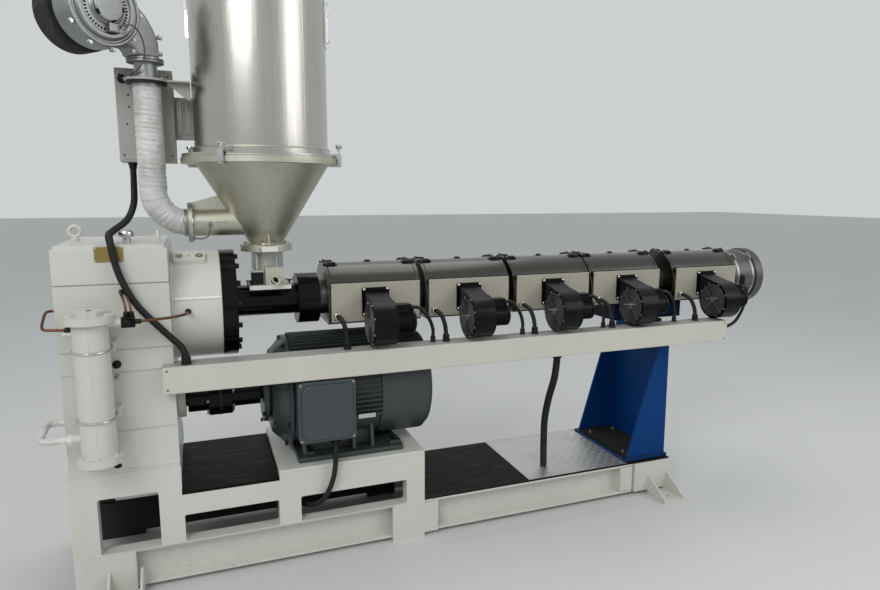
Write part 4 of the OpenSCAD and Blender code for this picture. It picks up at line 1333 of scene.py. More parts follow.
@dataclass
class Dryer:
    """Hot air unit: filter, blower with its motor, taped hose and the ring plate that holds it."""

    x: float = -45.0
    hose_top: float = 1945.0
    bend_r: float = 126.0
    inlet_z: float = INLET_Z
    hose_r: float = 52.0
    bend_z: float = 1532.0
    tape: float = 46.0
    blower_z: float = 2170.0
    turn: float = 38.0
    out: float = 180.0

    def hose(self) -> None:
        """Taped hose: a tube whose radius steps once for each turn of the tape and is crinkled by summed waves."""
        rows, sides, waves = 150, 64, 26
        z = np.linspace(self.hose_top, self.bend_z, rows)
        down = np.stack([np.full(rows, self.x), 0 * z, z], axis=1)
        a = np.radians(np.linspace(180, 270, 74))[1:]
        bend = np.stack([self.x + self.bend_r + self.bend_r * np.cos(a), 0 * a,
                         self.bend_z + self.bend_r * np.sin(a)], axis=1)
        path = np.concatenate([down, bend])
        run = np.concatenate([[0], np.cumsum(np.linalg.norm(np.diff(path, axis=0), axis=1))])[:, None]
        around = turns(sides)[None, :]
        chance = np.random.default_rng(5)
        crinkle = np.zeros((len(path), sides))
        for _ in range(waves):
            wave, lobes, phase = chance.uniform(0.05, 0.42), chance.integers(0, 5), chance.uniform(0, 6.3)
            crinkle = crinkle + np.sin(run * wave + around * lobes + phase) / waves
        lap = ((run + self.tape * around / (2 * math.pi)) / self.tape) % 1.0
        hose = tube(path, self.hose_r - 1.8 + 1.4 * lap + 4.6 * crinkle, (0, 1, 0), sides)
        make("taped_hose", hose, TAPE, stands_for=["dryer_hose"], angle=70)
        band = [(0, 53), (0, 55.5), (11, 55.5), (11, 53)]
        bands = lathe(band, (self.x, 0, 1926), Z, 48) + lathe(band, (62, 0, self.inlet_z), X, 48)
        make("hose_clamps", bands, CAST, bevel=0.5)

    def holder(self) -> None:
        """Ring plate with its rubber pad and arm, and the flanged outlet pipe above it."""
        top = self.hose_top
        ring = lathe([(0, 79), (8, 79), (8, 44), (0, 44)], (self.x, 0, top), Z, 56, ring=True)
        arm = slab((20, -34, top + 1), (112, 34, top + 7))
        rib = extruded([(24, top + 1), (112, top + 1), (112, top - 60), (100, top - 60)], Y, -4, 8)
        make("dryer_ring_plate", ring + arm + rib, BOX_PAINT, bevel=0.8)
        pad = lathe([(-9, 58), (-9, 74), (-0.2, 74), (-0.2, 58)], (self.x, 0, top), Z, 48)
        make("dryer_rubber_pad", pad, RUBBER)
        pipe = lathe([(8, 42), (66, 42), (68, 67), (74, 67), (74, 62), (77, 62), (77, 67), (84, 67), (86, 50),
                      (90, 46)], (self.x, 0, top), Z, 48)
        make("dryer_outlet_pipe", pipe, CAST, bevel=1)
        bolt = hex_bolt(6, (self.x + 66, 0, top + 8), Z).ringed(Z, (self.x, 0, 0), 6, 25)
        upper = hex_bolt(5, (self.x + 58, 0, top + 84), Z).ringed(Z, (self.x, 0, 0), 6, 0)
        make("dryer_plate_bolts", bolt + upper, ZINC)

    def placed(self, shape: Shape) -> Shape:
        """Puts a shape made about the scroll's centre on the unit and turns it about the hose."""
        return shape.moved(-self.out, 0, self.blower_z).turned(Z, self.turn).moved(self.x, 0, 0)

    def blower(self) -> None:
        """Cast scroll with its outlet, stepped front plate, flat motor whose vents and slots are dark strips of
        painted shade, and rim screws.
        """
        a = np.radians(np.linspace(18, 304, 66))
        curl = np.stack([135 * np.cos(a), 135 * np.sin(a)], axis=1)
        outline = np.concatenate([curl, [(100, -116), (111, -127), (112, -141), (215, -141), (214, -84), (198, -40),
                                         (168, 6)]])
        make("dryer_scroll", self.placed(extruded(outline, Y, -46, 92)), CAST, stands_for=["dryer_blower"],
             bevel=12, angle=50)
        steps = front_fitting([(40, 133), (51, 133), (55, 130), (55, 122), (49, 119), (49, 113), (60, 109), (66, 105),
                               (66, 93), (57, 88), (57, 66), (62, 61), (70, 58)], 0, 0, 0, 96)
        make("dryer_front_plate", self.placed(steps), CAST, bevel=1.5, angle=50)
        motor = front_fitting([(60, 54), (75, 54), (79.5, 51), (80.5, 46), (80.5, 12)], 0, 0, 0, 64)
        make("dryer_motor", self.placed(motor), CAST, bevel=1.2, angle=50)
        # Vents and slots as dark strips: painted shade.
        vents = slab((-2.6, -59.4, 73), (2.6, -56, 82)).ringed(Y, (0, 0, 0), 44)
        slots = slab((-9, -80.9, 46), (9, -74, 54.6)).ringed(Y, (0, 0, 0), 5, 22)
        make("dryer_motor_slot_shade", self.placed(vents + slots), PAINTED_SHADE, bevel=1)
        angles = (50, 90, 130, 170, 205, 240)
        lugs = joined([slab((-11, -46, 128), (11, -34, 149)).turned(Y, turn) for turn in angles])
        heads = joined([hex_bolt(6.5, (0, -46, 141), Y, -1).turned(Y, turn) for turn in angles])
        ear = slab((-10, -46, -8), (10, -34, 8)).repeated([(106, 0, -128), (219, 0, -60), (217, 0, -120)])
        pins = hex_bolt(6.5, (0, -46, 0), Y, -1).repeated([(104, 0, -130), (219, 0, -60), (217, 0, -120)])
        make("dryer_rim_lugs", self.placed(lugs + ear), CAST, bevel=3)
        make("dryer_rim_screws", self.placed(heads + pins), BRIGHT)
        box = slab((-4, -80, -86), (30, -56, -54)) + slab((36, -68, -84), (62, -56, -66))
        make("dryer_lead_box", self.placed(box), CAST, bevel=4)
        lead = smooth([(-104, -152, 2108), (-80, -158, 2116), (-56, -138, 2104), (-41, -106, 2066), (-42, -80, 2024),
                       (-64, -64, 1985), (-97, -12, 1968), (-128, 48, 1964), (-136, 74, 1963)], 8)
        make("blower_lead", tube(lead, 3.2, (0.2, 0.3, 1), 10), GREY_LEAD)

    def filter(self) -> None:
        """Round foam filter, hollow towards the blower, with two bright lips round its inlet."""
        foam = lathe([(98, 10), (98, 92), (86, 100), (76, 112), (76, 130), (84, 137), (160, 137), (169, 130),
                      (169, 10)], (0, 0, 0), Y, 96)
        make("filter_foam_ring", self.placed(foam), FOAM, stands_for=["dryer_filter"])
        lips = lathe([(48, 84), (80, 82), (82, 92), (85, 92), (85, 80)], (0, 0, 0), Y, 64)
        rings = hoop((0, 88, 0), 97, 2.6, Y, 96, 8) + hoop((0, 79, 0), 108, 2.0, Y, 96, 8)
        make("filter_lips", self.placed(lips + rings), CAST, bevel=0.8)

    def build(self) -> None:
        """Builds the hot air unit."""
        self.hose()
        self.holder()
        self.blower()
        self.filter()


@dataclass
class ControlBox:
    """Switch box with its screws, glands, louvres and slotted strips; the louvre gaps and strip holes are dark strips
    and discs of painted shade.
    """

    low: tuple[float, float, float] = (-163.0, 81.0, 1645.0)
    high: tuple[float, float, float] = (47.0, 195.0, 2006.0)

    def build(self) -> None:
        """Builds the box and its fittings."""
        softened("control_box", BOX_PAINT, 3.0)
        (left, y, low), (right, _, high) = self.low, self.high
        door = extruded(rounded((left + 9, low + 9), (right - 9, high - 9), 5), Y, y - 2.2, 2.4)
        make("control_box_door", door, BOX_PAINT, bevel=1.0)
        screw = front_fitting([(0, 3.6), (2.2, 3.4), (2.8, 2)], 0, 0, y - 2, 12)
        places = [(-146, 0, 1672), (-146, 0, 1980), (30, 0, 1672), (30, 0, 1980)]
        places += [(-118, 0, z) for z in (1904, 1858)] + [(x, 0, 1792) for x in (-128, -98)]
        make("control_box_screws", screw.repeated(places), BLACK_SCREW)
        gland = lathe([(-26, 9), (-24, 15), (-10, 15), (-10, 18), (0, 18)], (-120, 110, 1645), Z, 24)
        front = front_fitting([(0, 17), (4, 17), (4, 12), (12, 12), (14, 6)], -136, 1963, y - 2, 24)
        make("control_box_glands", gland + front, BLACK_SCREW)
        # Dark strips for the louvre gaps: painted shade.
        louvre = slab((46.6, 92, 0), (47.8, 184, 3)).repeated([(0, 0, z) for z in np.arange(1700, 1960, 9.0)])
        make("control_box_louvre_shade", louvre, PAINTED_SHADE)
        strip = extruded(rounded((56, 1760), (72, 1892), 4), Y, 124, 3)
        # Dark discs for the strip holes: painted shade.
        hole = front_fitting([(0, 2.6), (0.7, 2.4)], 64, 1766, 124, 10)
        holes = hole.repeated([(0, 0, 9.5 * i) for i in range(13)])
        make("box_bracket_strips", strip + strip.moved(34), ZINC, bevel=0.5)
        make("box_bracket_hole_shade", holes + holes.moved(34), PAINTED_SHADE)


@dataclass
class OilCooler:
    """Oil cooler with its bolted cap, straps, fittings, copper pipes and taped water pipe."""

    x: float = -255.0
    y: float = -362.0
    low: float = 610.0
    top: float = 1115.0
    port_z: float = 1080.0
    strap_r: float = 61.0
    strap_z: tuple[float, float] = (742.0, 987.0)

    def body(self) -> None:
        """Shell, cap bolts, lid, straps with their nuts, and the bottom plug."""
        softened("oil_cooler", UPPER_PAINT, 2.0)
        at = (self.x, self.y, 0)
        cap = hex_bolt(8, (self.x + 67, self.y, self.top - 4), Z).ringed(Z, at, 6, 30)
        foot = hex_bolt(7, (self.x + 64, self.y, self.low), Z).ringed(Z, at, 6, 30)
        make("cooler_bolts", cap + foot, UPPER_PAINT)
        lid = lathe([(11, 30), (16, 30), (16, 14), (24, 14), (26, 10)], (self.x, self.y, self.top - 4), Z, 6)
        make("cooler_vent_plug", lid.moved(0, 0, -10), UPPER_PAINT, bevel=1)
        arc, r = np.radians(np.linspace(180, 360, 40)), self.strap_r
        strap = np.stack([self.x + r * np.cos(arc), self.y + r * np.sin(arc), 0 * arc], axis=1)
        leg = np.array([(self.x - r, self.y + away, 0) for away in (56, 40, 20)])
        other = leg[::-1] * (-1, 1, 1) + (2 * self.x, 0, 0)
        wire = tube(np.concatenate([leg, strap, other]), 3.4, (0, 0, 1), 10)
        straps = wire.repeated([(0, 0, z) for z in self.strap_z])
        nut = front_fitting([(0, 7), (8, 7)], 0, 0, -319, 6)
        nuts = nut.repeated([(x, 0, z) for x in (self.x - r, self.x + r) for z in self.strap_z])
        make("cooler_straps", straps + nuts, BRIGHT)
        seam = tube([(self.x, self.y - 57.5, z) for z in (640, 860, 1082)], 1.6, (1, 0, 0), 6)
        rings = hoop((self.x, self.y, 612), 59, 2.6, Z, 48) + hoop((self.x, self.y, 1083), 59, 2.6, Z, 48)
        make("cooler_welds", seam + rings, UPPER_PAINT)
        plug = lathe([(0, 13), (10, 13), (10, 8), (18, 8)], (self.x + 56, self.y - 20, 562), Z, 6)
        make("cooler_drain_plug", plug, BLACK_SCREW, bevel=1)

    def pipes(self) -> None:
        """Black fittings and copper pipes on the routes of the source."""
        x, y, port = self.x, self.y, self.port_z
        left = -Gearbox.length
        feed = led([(-112.7, y, port), (-96.7, y, port), (-60, y + 2, port + 2), (0, y + 12, port + 4),
                    (42, y + 50, port + 4), (58, y + 92, port + 2), (60, -245, AXIS_Z + 5),
                    (60, -217.3, AXIS_Z + 5)], 8)
        rise = led([(-139.7, y, port + 18), (-139.7, y, port + 32), (-141.7, y + 4, port + 58),
                    (-149.7, y + 22, port + 82), (-157.7, y + 52, port + 92), (-157.7, FRONT_Y - 18, port + 94),
                    (-157.7, FRONT_Y, port + 94)], 8)
        back = led([(x - 58.3, y, port - 16), (left + 38, y, port - 16), (left + 12, y, port - 14),
                    (left - 17, y + 4, port - 12), (left - 26, y + 22, port - 2), (left - 26, y + 60, port + 20),
                    (left - 26, FRONT_Y - 4, port + 30), (left - 22, FRONT_Y + 18, port + 32),
                    (left - 12, FRONT_Y + 25, port + 32), (left - 0.3, FRONT_Y + 25, port + 32)], 8)
        twin = tube(rise + (16, 0, -3), 3.6, (1, 0, 0), 14)
        copper = tube(feed, 5, (0, 0, 1), 14) + tube(rise, 4.2, (1, 0, 0), 14) + tube(back, 5, (0, 0, 1), 14) + twin
        make("copper_pipes", copper, COPPER, stands_for=["oil_pipes"])
        block = extruded(rounded((-156.7, y - 18), (-112.7, y + 18), 5), Z, port - 18, 36)
        nut_x = lathe([(0, 10), (16, 10), (20, 7)], (-113, y, port), X, 6)
        nut_z = lathe([(0, 10), (16, 10), (20, 7)], (-139.7, y, port + 17), Z, 6)
        knob = front_fitting([(0, 7), (14, 7), (14, 12), (26, 12), (28, 9)], -134, port, y - 17, 24)
        elbow = lathe([(0, 10), (18, 10), (22, 7)], (x - 56, y, port - 16), X, 6).mirrored(X, x - 56)
        far = front_fitting([(0, 10), (14, 10), (16, 7)], -157.7, port + 94, FRONT_Y, 6)
        fittings = block + nut_x + nut_z + nut_z.moved(16) + knob + elbow + far + far.moved(16, 0, -3)
        make("oil_fittings", fittings, BLACK_SCREW, bevel=1.0)

    def water(self) -> None:
        """Water pipe wound with white tape, with a union at each end."""
        y, left, z = self.y, -Gearbox.length, 676.0
        route = led([(-351.3, y, z), (left - 10, y, z), (left - 42, y, z + 1), (left - 58, y + 10, z + 3),
                     (-437, y + 32, z + 6), (-437, y + 92, z + 14), (left - 60, -236, z + 18),
                     (left - 46, -222, z + 20), (left - 24, -220, z + 20), (left - 0.3, -220, z + 20)], 10)
        fine = spaced(route, 3)
        laps = (np.arange(len(fine)) * 3 / 17.0) % 1.0
        pipe = tube(fine, 11.6 + 1.2 * laps, (0, 0, 1), 20)
        make("taped_water_pipe", pipe, WHITE_TAPE, stands_for=["water_pipe"], angle=60)
        union = lathe([(0, 19), (14, 19), (14, 16), (22, 16)], (-351, y, z), X, 8)
        tee = lathe([(0, 16), (18, 16), (20, 13)], (-393, -220, z + 20), X, 8)
        make("water_unions", union + tee, WHITE_TAPE, bevel=1.2)

    def build(self) -> None:
        """Builds the cooler."""
        self.body()
        self.pipes()
        self.water()


@dataclass
class Barrel:
    """Heated barrel: tube, five covered zones with side panels, latches and the flanged end."""

    zone_r: float = 150.0
    zone_l: float = ZONE_L
    half_w: float = 140.0
    drop: float = 100.0
    panel_low: float = 985.0
    panel_high: float = 1150.0

    def outline(self, grow: float) -> list[tuple[float, float]]:
        """Outline of a zone in y and z.

        Args:
            grow: distance that it is grown outwards by.

        Returns:
            Pairs: two lower corners, and an arc of radius times cosine and sine over them.
        """
        r, w = self.zone_r + grow, self.half_w + grow
        start = math.acos(w / r)
        arc = np.linspace(start, math.pi - start, 40)
        low = AXIS_Z - self.drop - grow
        return [(-w, low), (w, low)] + [(r * math.cos(a), AXIS_Z + r * math.sin(a)) for a in arc]

    def zone(self, number: int, x: float) -> None:
        """One zone: its cover with end plates, bands and a bright edge over each side panel.

        Args:
            number: the zone's number, from the hopper on.
            x: where its cover starts.
        """
        softened(f"heater_zone_{number}", COVER_STEEL, 2.0)
        ends = [extruded(self.outline(0.9), X, start, 3.0) for start in (x - 1.2, x + self.zone_l - 1.8)]
        make(f"zone_{number}_end_plates", joined(ends), COVER_STEEL, bevel=0.6)
        arc, r = np.radians(np.linspace(26, 154, 40)), self.zone_r + 0.4
        lip = tube(np.stack([0 * arc, r * np.cos(arc), AXIS_Z + r * np.sin(arc)], axis=1), 2.0, (1, 0, 0), 6)
        lips = lip.repeated([(x + 14, 0, 0), (x + self.zone_l - 14, 0, 0)])
        edge = slab((x + 3, -self.half_w - 3.5, 1149), (x + self.zone_l - 3, -self.half_w + 4, 1151.5))
        make(f"zone_{number}_bands", lips + edge.both_sides(), COVER_STEEL)

    def latch(self) -> Shape:
        """A toggle latch that lies along the cover.

        Returns:
            Base plate, hinge, lever, wire loop and hook, about the origin.
        """
        base = slab((-26, -11, 0), (18, 11, 2.5))
        hinge = lathe([(-10, 4.5), (10, 4.5)], (-14, 0, 6), Y, 12)
        lever = extruded([(-18, 6), (-12, 11), (14, 12), (22, 17), (24, 15), (16, 8), (-10, 6)], Y, -6, 12)
        loop = tube(smooth([(-8, -8, 7), (6, -8.5, 8), (24, -7, 7), (30, 0, 6), (24, 7, 7), (6, 8.5, 8), (-8, 8, 7)],
                           4), 1.6, (0, 0.1, 1), 8)
        hook = extruded([(22, 0), (36, 0), (36, 9), (31, 9), (31, 4), (22, 3)], Y, -7, 14)
        return base + hinge + lever + loop + hook

    def latches(self) -> None:
        """Latches at both ends of each zone, in front and behind, and a lifting lug in the middle."""
        one = self.latch()
        placed, lugs = [], []
        for x in ZONE_X:
            for at, face in ((x + 34, -1), (x + self.zone_l - 34, 1)):
                side = one if face > 0 else one.turned(Z, 180)
                for lean in (16, -16):
                    placed.append(side.moved(at, 0, AXIS_Z + self.zone_r).turned(X, lean, SCREW_LINE))
            ear = extruded([(-13, 0), (13, 0), (9, 7), (-9, 7)], Y, -3, 6)
            foot = slab((-18, -8, -1), (18, 8, 2))
            lugs.append((ear + foot).moved(x + self.zone_l / 2, 0, AXIS_Z + self.zone_r))
        make("zone_latches", joined(placed), BLACK_SCREW, bevel=0.5)
        make("zone_lugs", joined(lugs), BLACK_SCREW, bevel=0.8)

    def panels(self) -> None:
        """Side panels, their screws and chrome glands, and dark strips of painted shadow in the gaps above and below
        each.
        """
        softened("side_panels", PANEL_PAINT, 1.6)
        head = front_fitting([(0, 3.8), (1.6, 3.4), (2.2, 1.6)], 0, 0, PANEL_Y, 12)
        gland = front_fitting([(0, 15), (7, 15)], 0, 0, PANEL_Y, 6) + front_fitting(
            [(7, 12.5), (12, 12.5), (12, 14), (20, 13), (22, 10)], 0, 0, PANEL_Y, 24)
        heads, glands, gaps = [], [], []
        for x in ZONE_X:
            for hx in (x + 20, x + self.zone_l - 20):
                heads += [head.moved(hx, 0, self.panel_low + 12), head.moved(hx, 0, self.panel_high - 12)]
            glands.append(gland.moved(x + LEAD_X, 0, LEAD_Z))
            # Dark strips in the gaps over and under the panel: painted shadow.
            gaps.append(slab((x + 8, -154, 1150.2), (x + self.zone_l - 8, -141, 1153)))
            gaps.append(slab((x + 8, -154, 981.5), (x + self.zone_l - 8, -141, 984.6)))
        both = joined(heads)
        make("panel_screws", both.both_sides(), ZINC)
        make("panel_glands", joined(glands), BRIGHT)
        shade = joined(gaps)
        make("panel_gap_shadows", shade.both_sides(), PAINTED_SHADE)

    def end(self) -> None:
        """Heater band with two clamping strips and their screws, and the bolted flange."""
        softened("barrel_end", TURNED, 2.0)
        strips = [lathe([(0, 140), (0, 142.5), (16, 142.5), (16, 140)], (x, 0, AXIS_Z), X, 72)
                  for x in (2836, 2938)]
        ears = slab((2838, -14, AXIS_Z + 139), (2850, 14, AXIS_Z + 156)).repeated([(0, 0, 0), (102, 0, 0)])
        bars = lathe([(-24, 4), (24, 4)], (2844, 0, AXIS_Z + 149), Y, 12).repeated([(0, 0, 0), (102, 0, 0)])
        make("end_band_clamps", (joined(strips) + ears + bars).turned(X, 40, SCREW_LINE), ZINC,
             bevel=0.6)
        box = extruded(rounded((2862, 1040), (2918, 1096), 6), Y, -168, 30)
        make("end_band_socket", box, TURNED, bevel=2)
        dress_node("barrel_tube", TURNED)
        screw = socket_bolt(6, 6, (3009.5, 0, AXIS_Z + 140), X, -1)
        rim = hoop((2966, 0, AXIS_Z), 146, 3.2, X, 72)
        make("end_flange_rim", rim + screw.ringed(X, SCREW_LINE, 6, 15).moved(-44), TURNED)

    def build(self) -> None:
        """Builds the barrel."""
        for number, x in enumerate(ZONE_X, 1):
            self.zone(number, x)
        self.latches()
        self.panels()
        self.end()


@dataclass
class ZoneBlower:
    """One cooling blower: flange, scroll, wire guard, ribbed motor and terminal box."""

    number: int
    zone_x: float
    drum: tuple[float, float] = (-275.0, 995.0)
    drum_r: float = 92.0
    drum_w: float = 98.0
    flange_y: float = -166.0

    @property
    def mid(self) -> float:
        """Middle of the zone."""
        return self.zone_x + ZONE_L / 2

    @property
    def start(self) -> float:
        """Left face of the drum."""
        return self.mid - 60.0

    def scroll(self) -> Shape:
        """The scroll.

        Returns:
            Its outline carried along x: an arc round the drum and the two tangents from it to the mouth.
        """
        y, z = self.drum
        high, low = np.array([self.flange_y, 1114.0]), np.array([self.flange_y, 1022.0])
        up, down = high - (y, z), low - (y, z)
        first = math.atan2(up[1], up[0]) + math.acos(self.drum_r / np.hypot(*up))
        last = 2 * math.pi + math.atan2(down[1], down[0]) - math.acos(self.drum_r / np.hypot(*down))
        a = np.linspace(first, last, 56)
        arc = np.stack([y + self.drum_r * np.cos(a), z + self.drum_r * np.sin(a)], axis=1)
        return extruded(np.concatenate([[high], arc, [low]]), X, self.start + 3, self.drum_w - 3)

    def casing(self) -> None:
        """Scroll with raised rims and its flange with four bright screws."""
        y, z = self.drum
        name = f"zone_{self.number}_blower"
        make(name + "_scroll", self.scroll(), BLOWER, stands_for=[f"zone_blower_{self.number}"], bevel=4,
             angle=50)
        rims = lathe([(-2, 84), (-2, 94), (6, 94), (6, 90)], (self.start + 2, y, z), X, 72)
        back = lathe([(0, 90), (0, 93.4), (5, 93.4), (7, 60)], (self.start + self.drum_w - 5, y, z), X, 72)
        make(name + "_rims", rims + back, BLOWER, bevel=0.8)
        plate = extruded(rounded((self.mid - 66, 1005), (self.mid + 54, 1129), 9), Y, self.flange_y, 6)
        make(name + "_flange", plate, BLOWER, bevel=1.0)
        screw = front_fitting([(0, 6.4), (1.2, 6.6), (3.4, 5.2), (4.6, 2.6)], 0, 0, self.flange_y, 16)
        corners = [(self.mid + sx, 0, z0) for sx in (-56, 46) for z0 in (1014, 1121)]
        make(name + "_screws", screw.repeated(corners), BRIGHT)

    def guard(self) -> None:
        """Wire guard: rings on four spokes over the inlet, whose disc and vanes are near-black painted shade, a bright
        bar and small rim screws.
        """
        y, z = self.drum
        x = self.start - 3
        name = f"zone_{self.number}_guard"
        rings = joined([hoop((x, y, z), r, 1.5, X, 56, 6) for r in (17, 27, 37, 47, 57, 67, 77)])
        spoke = tube([(x + 2, y, z + up) for up in (8, 45, 84)], 1.9, (1, 0, 0), 6)
        hub = lathe([(-2, 11), (0, 13), (3, 13)], (x, y, z), X, 24)
        make(name, rings + spoke.ringed(X, (0, y, z), 4, 45) + hub, GREY_LEAD)
        # Dark disc and vanes in the inlet: painted shade.
        inlet = lathe([(0, 20), (0.8, 81), (3, 81)], (self.start - 1.2, y, z), X, 48)
        vane = slab((self.start - 2.4, y - 1.2, z + 30), (self.start + 1, y + 1.2, z + 78))
        make(name + "_inlet_shade", inlet + vane.ringed(X, (0, y, z), 28), PAINTED_SHADE)
        bar = tube([(x - 2, y + dy, z + up) for dy, up in ((-44, 14), (-16, 9), (14, 5), (44, 0))], 2.4, (1, 0, 0), 8)
        screw = lathe([(0, 4), (2, 3.6), (3, 2)], (0, 0, 0), X, 12).mirrored(X).moved(self.start, y, z + 86)
        make(name + "_bright_parts", bar + screw.ringed(X, (0, y, z), 8, 22.5), BRIGHT)

    def motor(self) -> None:
        """Ribbed motor with a domed end, its terminal box with a lid, and the gland."""
        y, z = self.drum
        x = self.start + self.drum_w
        name = f"zone_{self.number}_motor"
        core = lathe([(0, 40), (4, 48), (10, 48), (12, 43), (77, 43), (79, 48), (88, 48), (93, 40), (96, 14)],
                     (x, y, z), X, 48)
        rib = slab((x + 12, y - 1.2, z + 42), (x + 77, y + 1.2, z + 47.6))
        make(name, core + rib.ringed(X, (0, y, z), 30), BLOWER, bevel=0.6)
        box = extruded(rounded((x + 11, y - 23), (x + 71, y + 23), 5), Z, z + 40, 27)
        lid = extruded(rounded((x + 9, y - 24), (x + 73, y + 24), 6), Z, z + 67, 9)
        make(name + "_box", box + lid, BLOWER, bevel=1.5)
        gland = lathe([(-2, 10), (8, 10), (8, 11), (16, 10)], (x + 72, y, z + 58), X, 16)
        make(name + "_gland", gland, BLACK_SCREW, bevel=0.6)

    def build(self) -> None:
        """Builds the blower."""
        self.casing()
        self.guard()
        self.motor()


@dataclass
class CableDuct:
    """Closed cable duct with its cover plate, screws and rubber grommets, and a darker sheet on its top as painted
    shade under the barrel.
    """

    front: float = -318.0
    low: float = 790.0
    high: float = DUCT_TOP
    end: float = 2610.0

    def build(self) -> None:
        """Builds the duct."""
        softened("cable_tray", TRAY_PAINT, 1.6)
        # A darker sheet on the duct's top: painted shade under the barrel.
        lid = extruded(rounded((-38, self.front + 1.5), (self.end - 2, self.front + 95), 2), Z, self.high - 0.4, 1.0)
        make("duct_top_painted_shade", lid, BOX_PAINT, bevel=0.4)
        cover = extruded(rounded((-35, self.low + 3), (self.end - 5, self.high - 3), 2), Y, self.front - 1.2, 1.4)
        make("duct_cover", cover, TRAY_PAINT, bevel=0.6)
        screw = front_fitting([(0, 3.6), (1.4, 3.2), (1.8, 1.4)], 0, 0, self.front - 1.2, 12)
        spots = [(-24, 0, 806), (-24, 0, 878), (self.end - 18, 0, 802), (self.end - 18, 0, 880)]
        make("duct_screws", screw.repeated(spots), BLACK_SCREW)
        sleeve = lathe([(0, 17), (4, 17), (6, 14.5), (30, 14.5), (32, 11)], (0, 0, self.high), Z, 24)
        small = lathe([(0, 13), (4, 13), (6, 11), (25, 11), (27, 8.5)], (0, 0, self.high), Z, 24)
        wide = lathe([(0, 20), (4, 20), (6, 17), (30, 17), (32, 14)], (44, -286, self.high), Z, 24)
        end = lathe([(0, 13), (4, 13), (6, 11), (20, 11), (22, 8.5)], (self.end, -251, 842), X, 24)
        both = (sleeve.repeated([(x + 51, -262, 0) for x in ZONE_X])
                + small.repeated([(x + 429, -251, 0) for x in ZONE_X[:-1]]))
        make("duct_grommets", both + wide + end, RUBBER, bevel=0.6)


@dataclass
class Conduits:
    """Corrugated conduits on the routes of the source, each leaving and meeting its face straight."""

    y: float = -286.0
    motor_x: float = 598.0
    deck_x: float = 1660.0

    def zones(self) -> None:
        """Conduits from each zone's gland and each blower's motor down into the duct."""
        zone = np.array([(0, 0, 0), (0, -14, 0), (4, -38, -1), (12, -70, -17), (18, -92, -52), (20, -102, -90),
                         (20, -102, DUCT_TOP - LEAD_Z)], float)
        fan = np.array([(0, 0, 0), (14, 0, 0), (32, 2, -7), (58, 8, -32), (83, 16, -68), (98, 24, -108),
                        (98, 24, -130), (98, 24, DUCT_TOP - FAN_LEAD[2])], float)
        last = np.array([(0, 0, 0), (14, 0, 0), (32, 3, -8), (44, 8, -40), (44, 16, -90), (30, 22, -140),
                         (-4, 24, -186), (-52, 24, -208), (-86, 24, -211), (-121, 24, -211)], float)
        thick, thin = [], []
        for x in ZONE_X:
            thick.append(conduit(led(zone + (x + LEAD_X, PANEL_Y, LEAD_Z), 8), 10, (1, 0, 0), 4))
            route = last if x == ZONE_X[-1] else fan
            thin.append(conduit(led(route + (x, 0, 0) + FAN_LEAD, 8), 8, (0, 1, 0), 3.6))
        make("zone_conduits", joined(thick), RUBBER, stands_for=["conduits"], angle=80)
        make("blower_conduits", joined(thin), RUBBER, angle=80)

    def long(self) -> None:
        """Conduits from the switch box, from the motor's terminal box and from the duct to the deck."""
        y = self.y
        box = led([(-120, 110, 1645), (-120, 110, 1620), (-121, 104, 1560), (-124, 70, 1480), (-146, 0, 1420),
                   (-186, -110, 1384), (-190, -220, 1374), (-182, y + 10, 1350), (-172, y - 6, 1290),
                   (-150, y - 8, 1210), (-105, y - 8, 1120), (-24, y - 6, 1022), (30, y - 2, 960), (44, y, 920),
                   (44, y, DUCT_TOP)], 10)
        x, d = self.motor_x, self.deck_x
        motor = led([(x, y - 4, 527), (x, y - 4, 490), (x - 2, y - 5, 430), (x - 11, y - 6, 366),
                     (x - 30, y - 4, 310), (x - 54, y + 10, 262), (x - 78, y + 38, 234), (x - 106, y + 81, 214),
                     (x - 140, y + 146, 202), (x - 172, y + 194, 197), (404, y + 206, 197), (382, y + 206, 197)], 10)
        deck = led([(d, y + 36, 790), (d, y + 36, 750), (d, y + 54, 660), (d + 2, y + 106, 540), (d + 8, y + 146, 420),
                    (d + 16, y + 162, 300), (d + 20, y + 166, 210), (d + 20, y + 166, 176)], 10)
        make("box_conduit", conduit(box, 13, (1, 0, 0)), RUBBER, angle=80)
        make("motor_conduit", conduit(motor, 11, (0, 1, 0)), RUBBER, angle=80)
        make("deck_conduit", conduit(deck, 17, (1, 0, 0), 6), RUBBER, angle=80)
        nut = lathe([(-20, 15), (0, 15)], (x, y - 4, 527), Z, 6)
        low = lathe([(-24, 21), (0, 21)], (d, y + 36, 790), Z, 24)
        make("conduit_glands", nut + low, BLACK_SCREW, bevel=1)

    def build(self) -> None:
        """Builds the conduits."""
        self.zones()
        self.long()


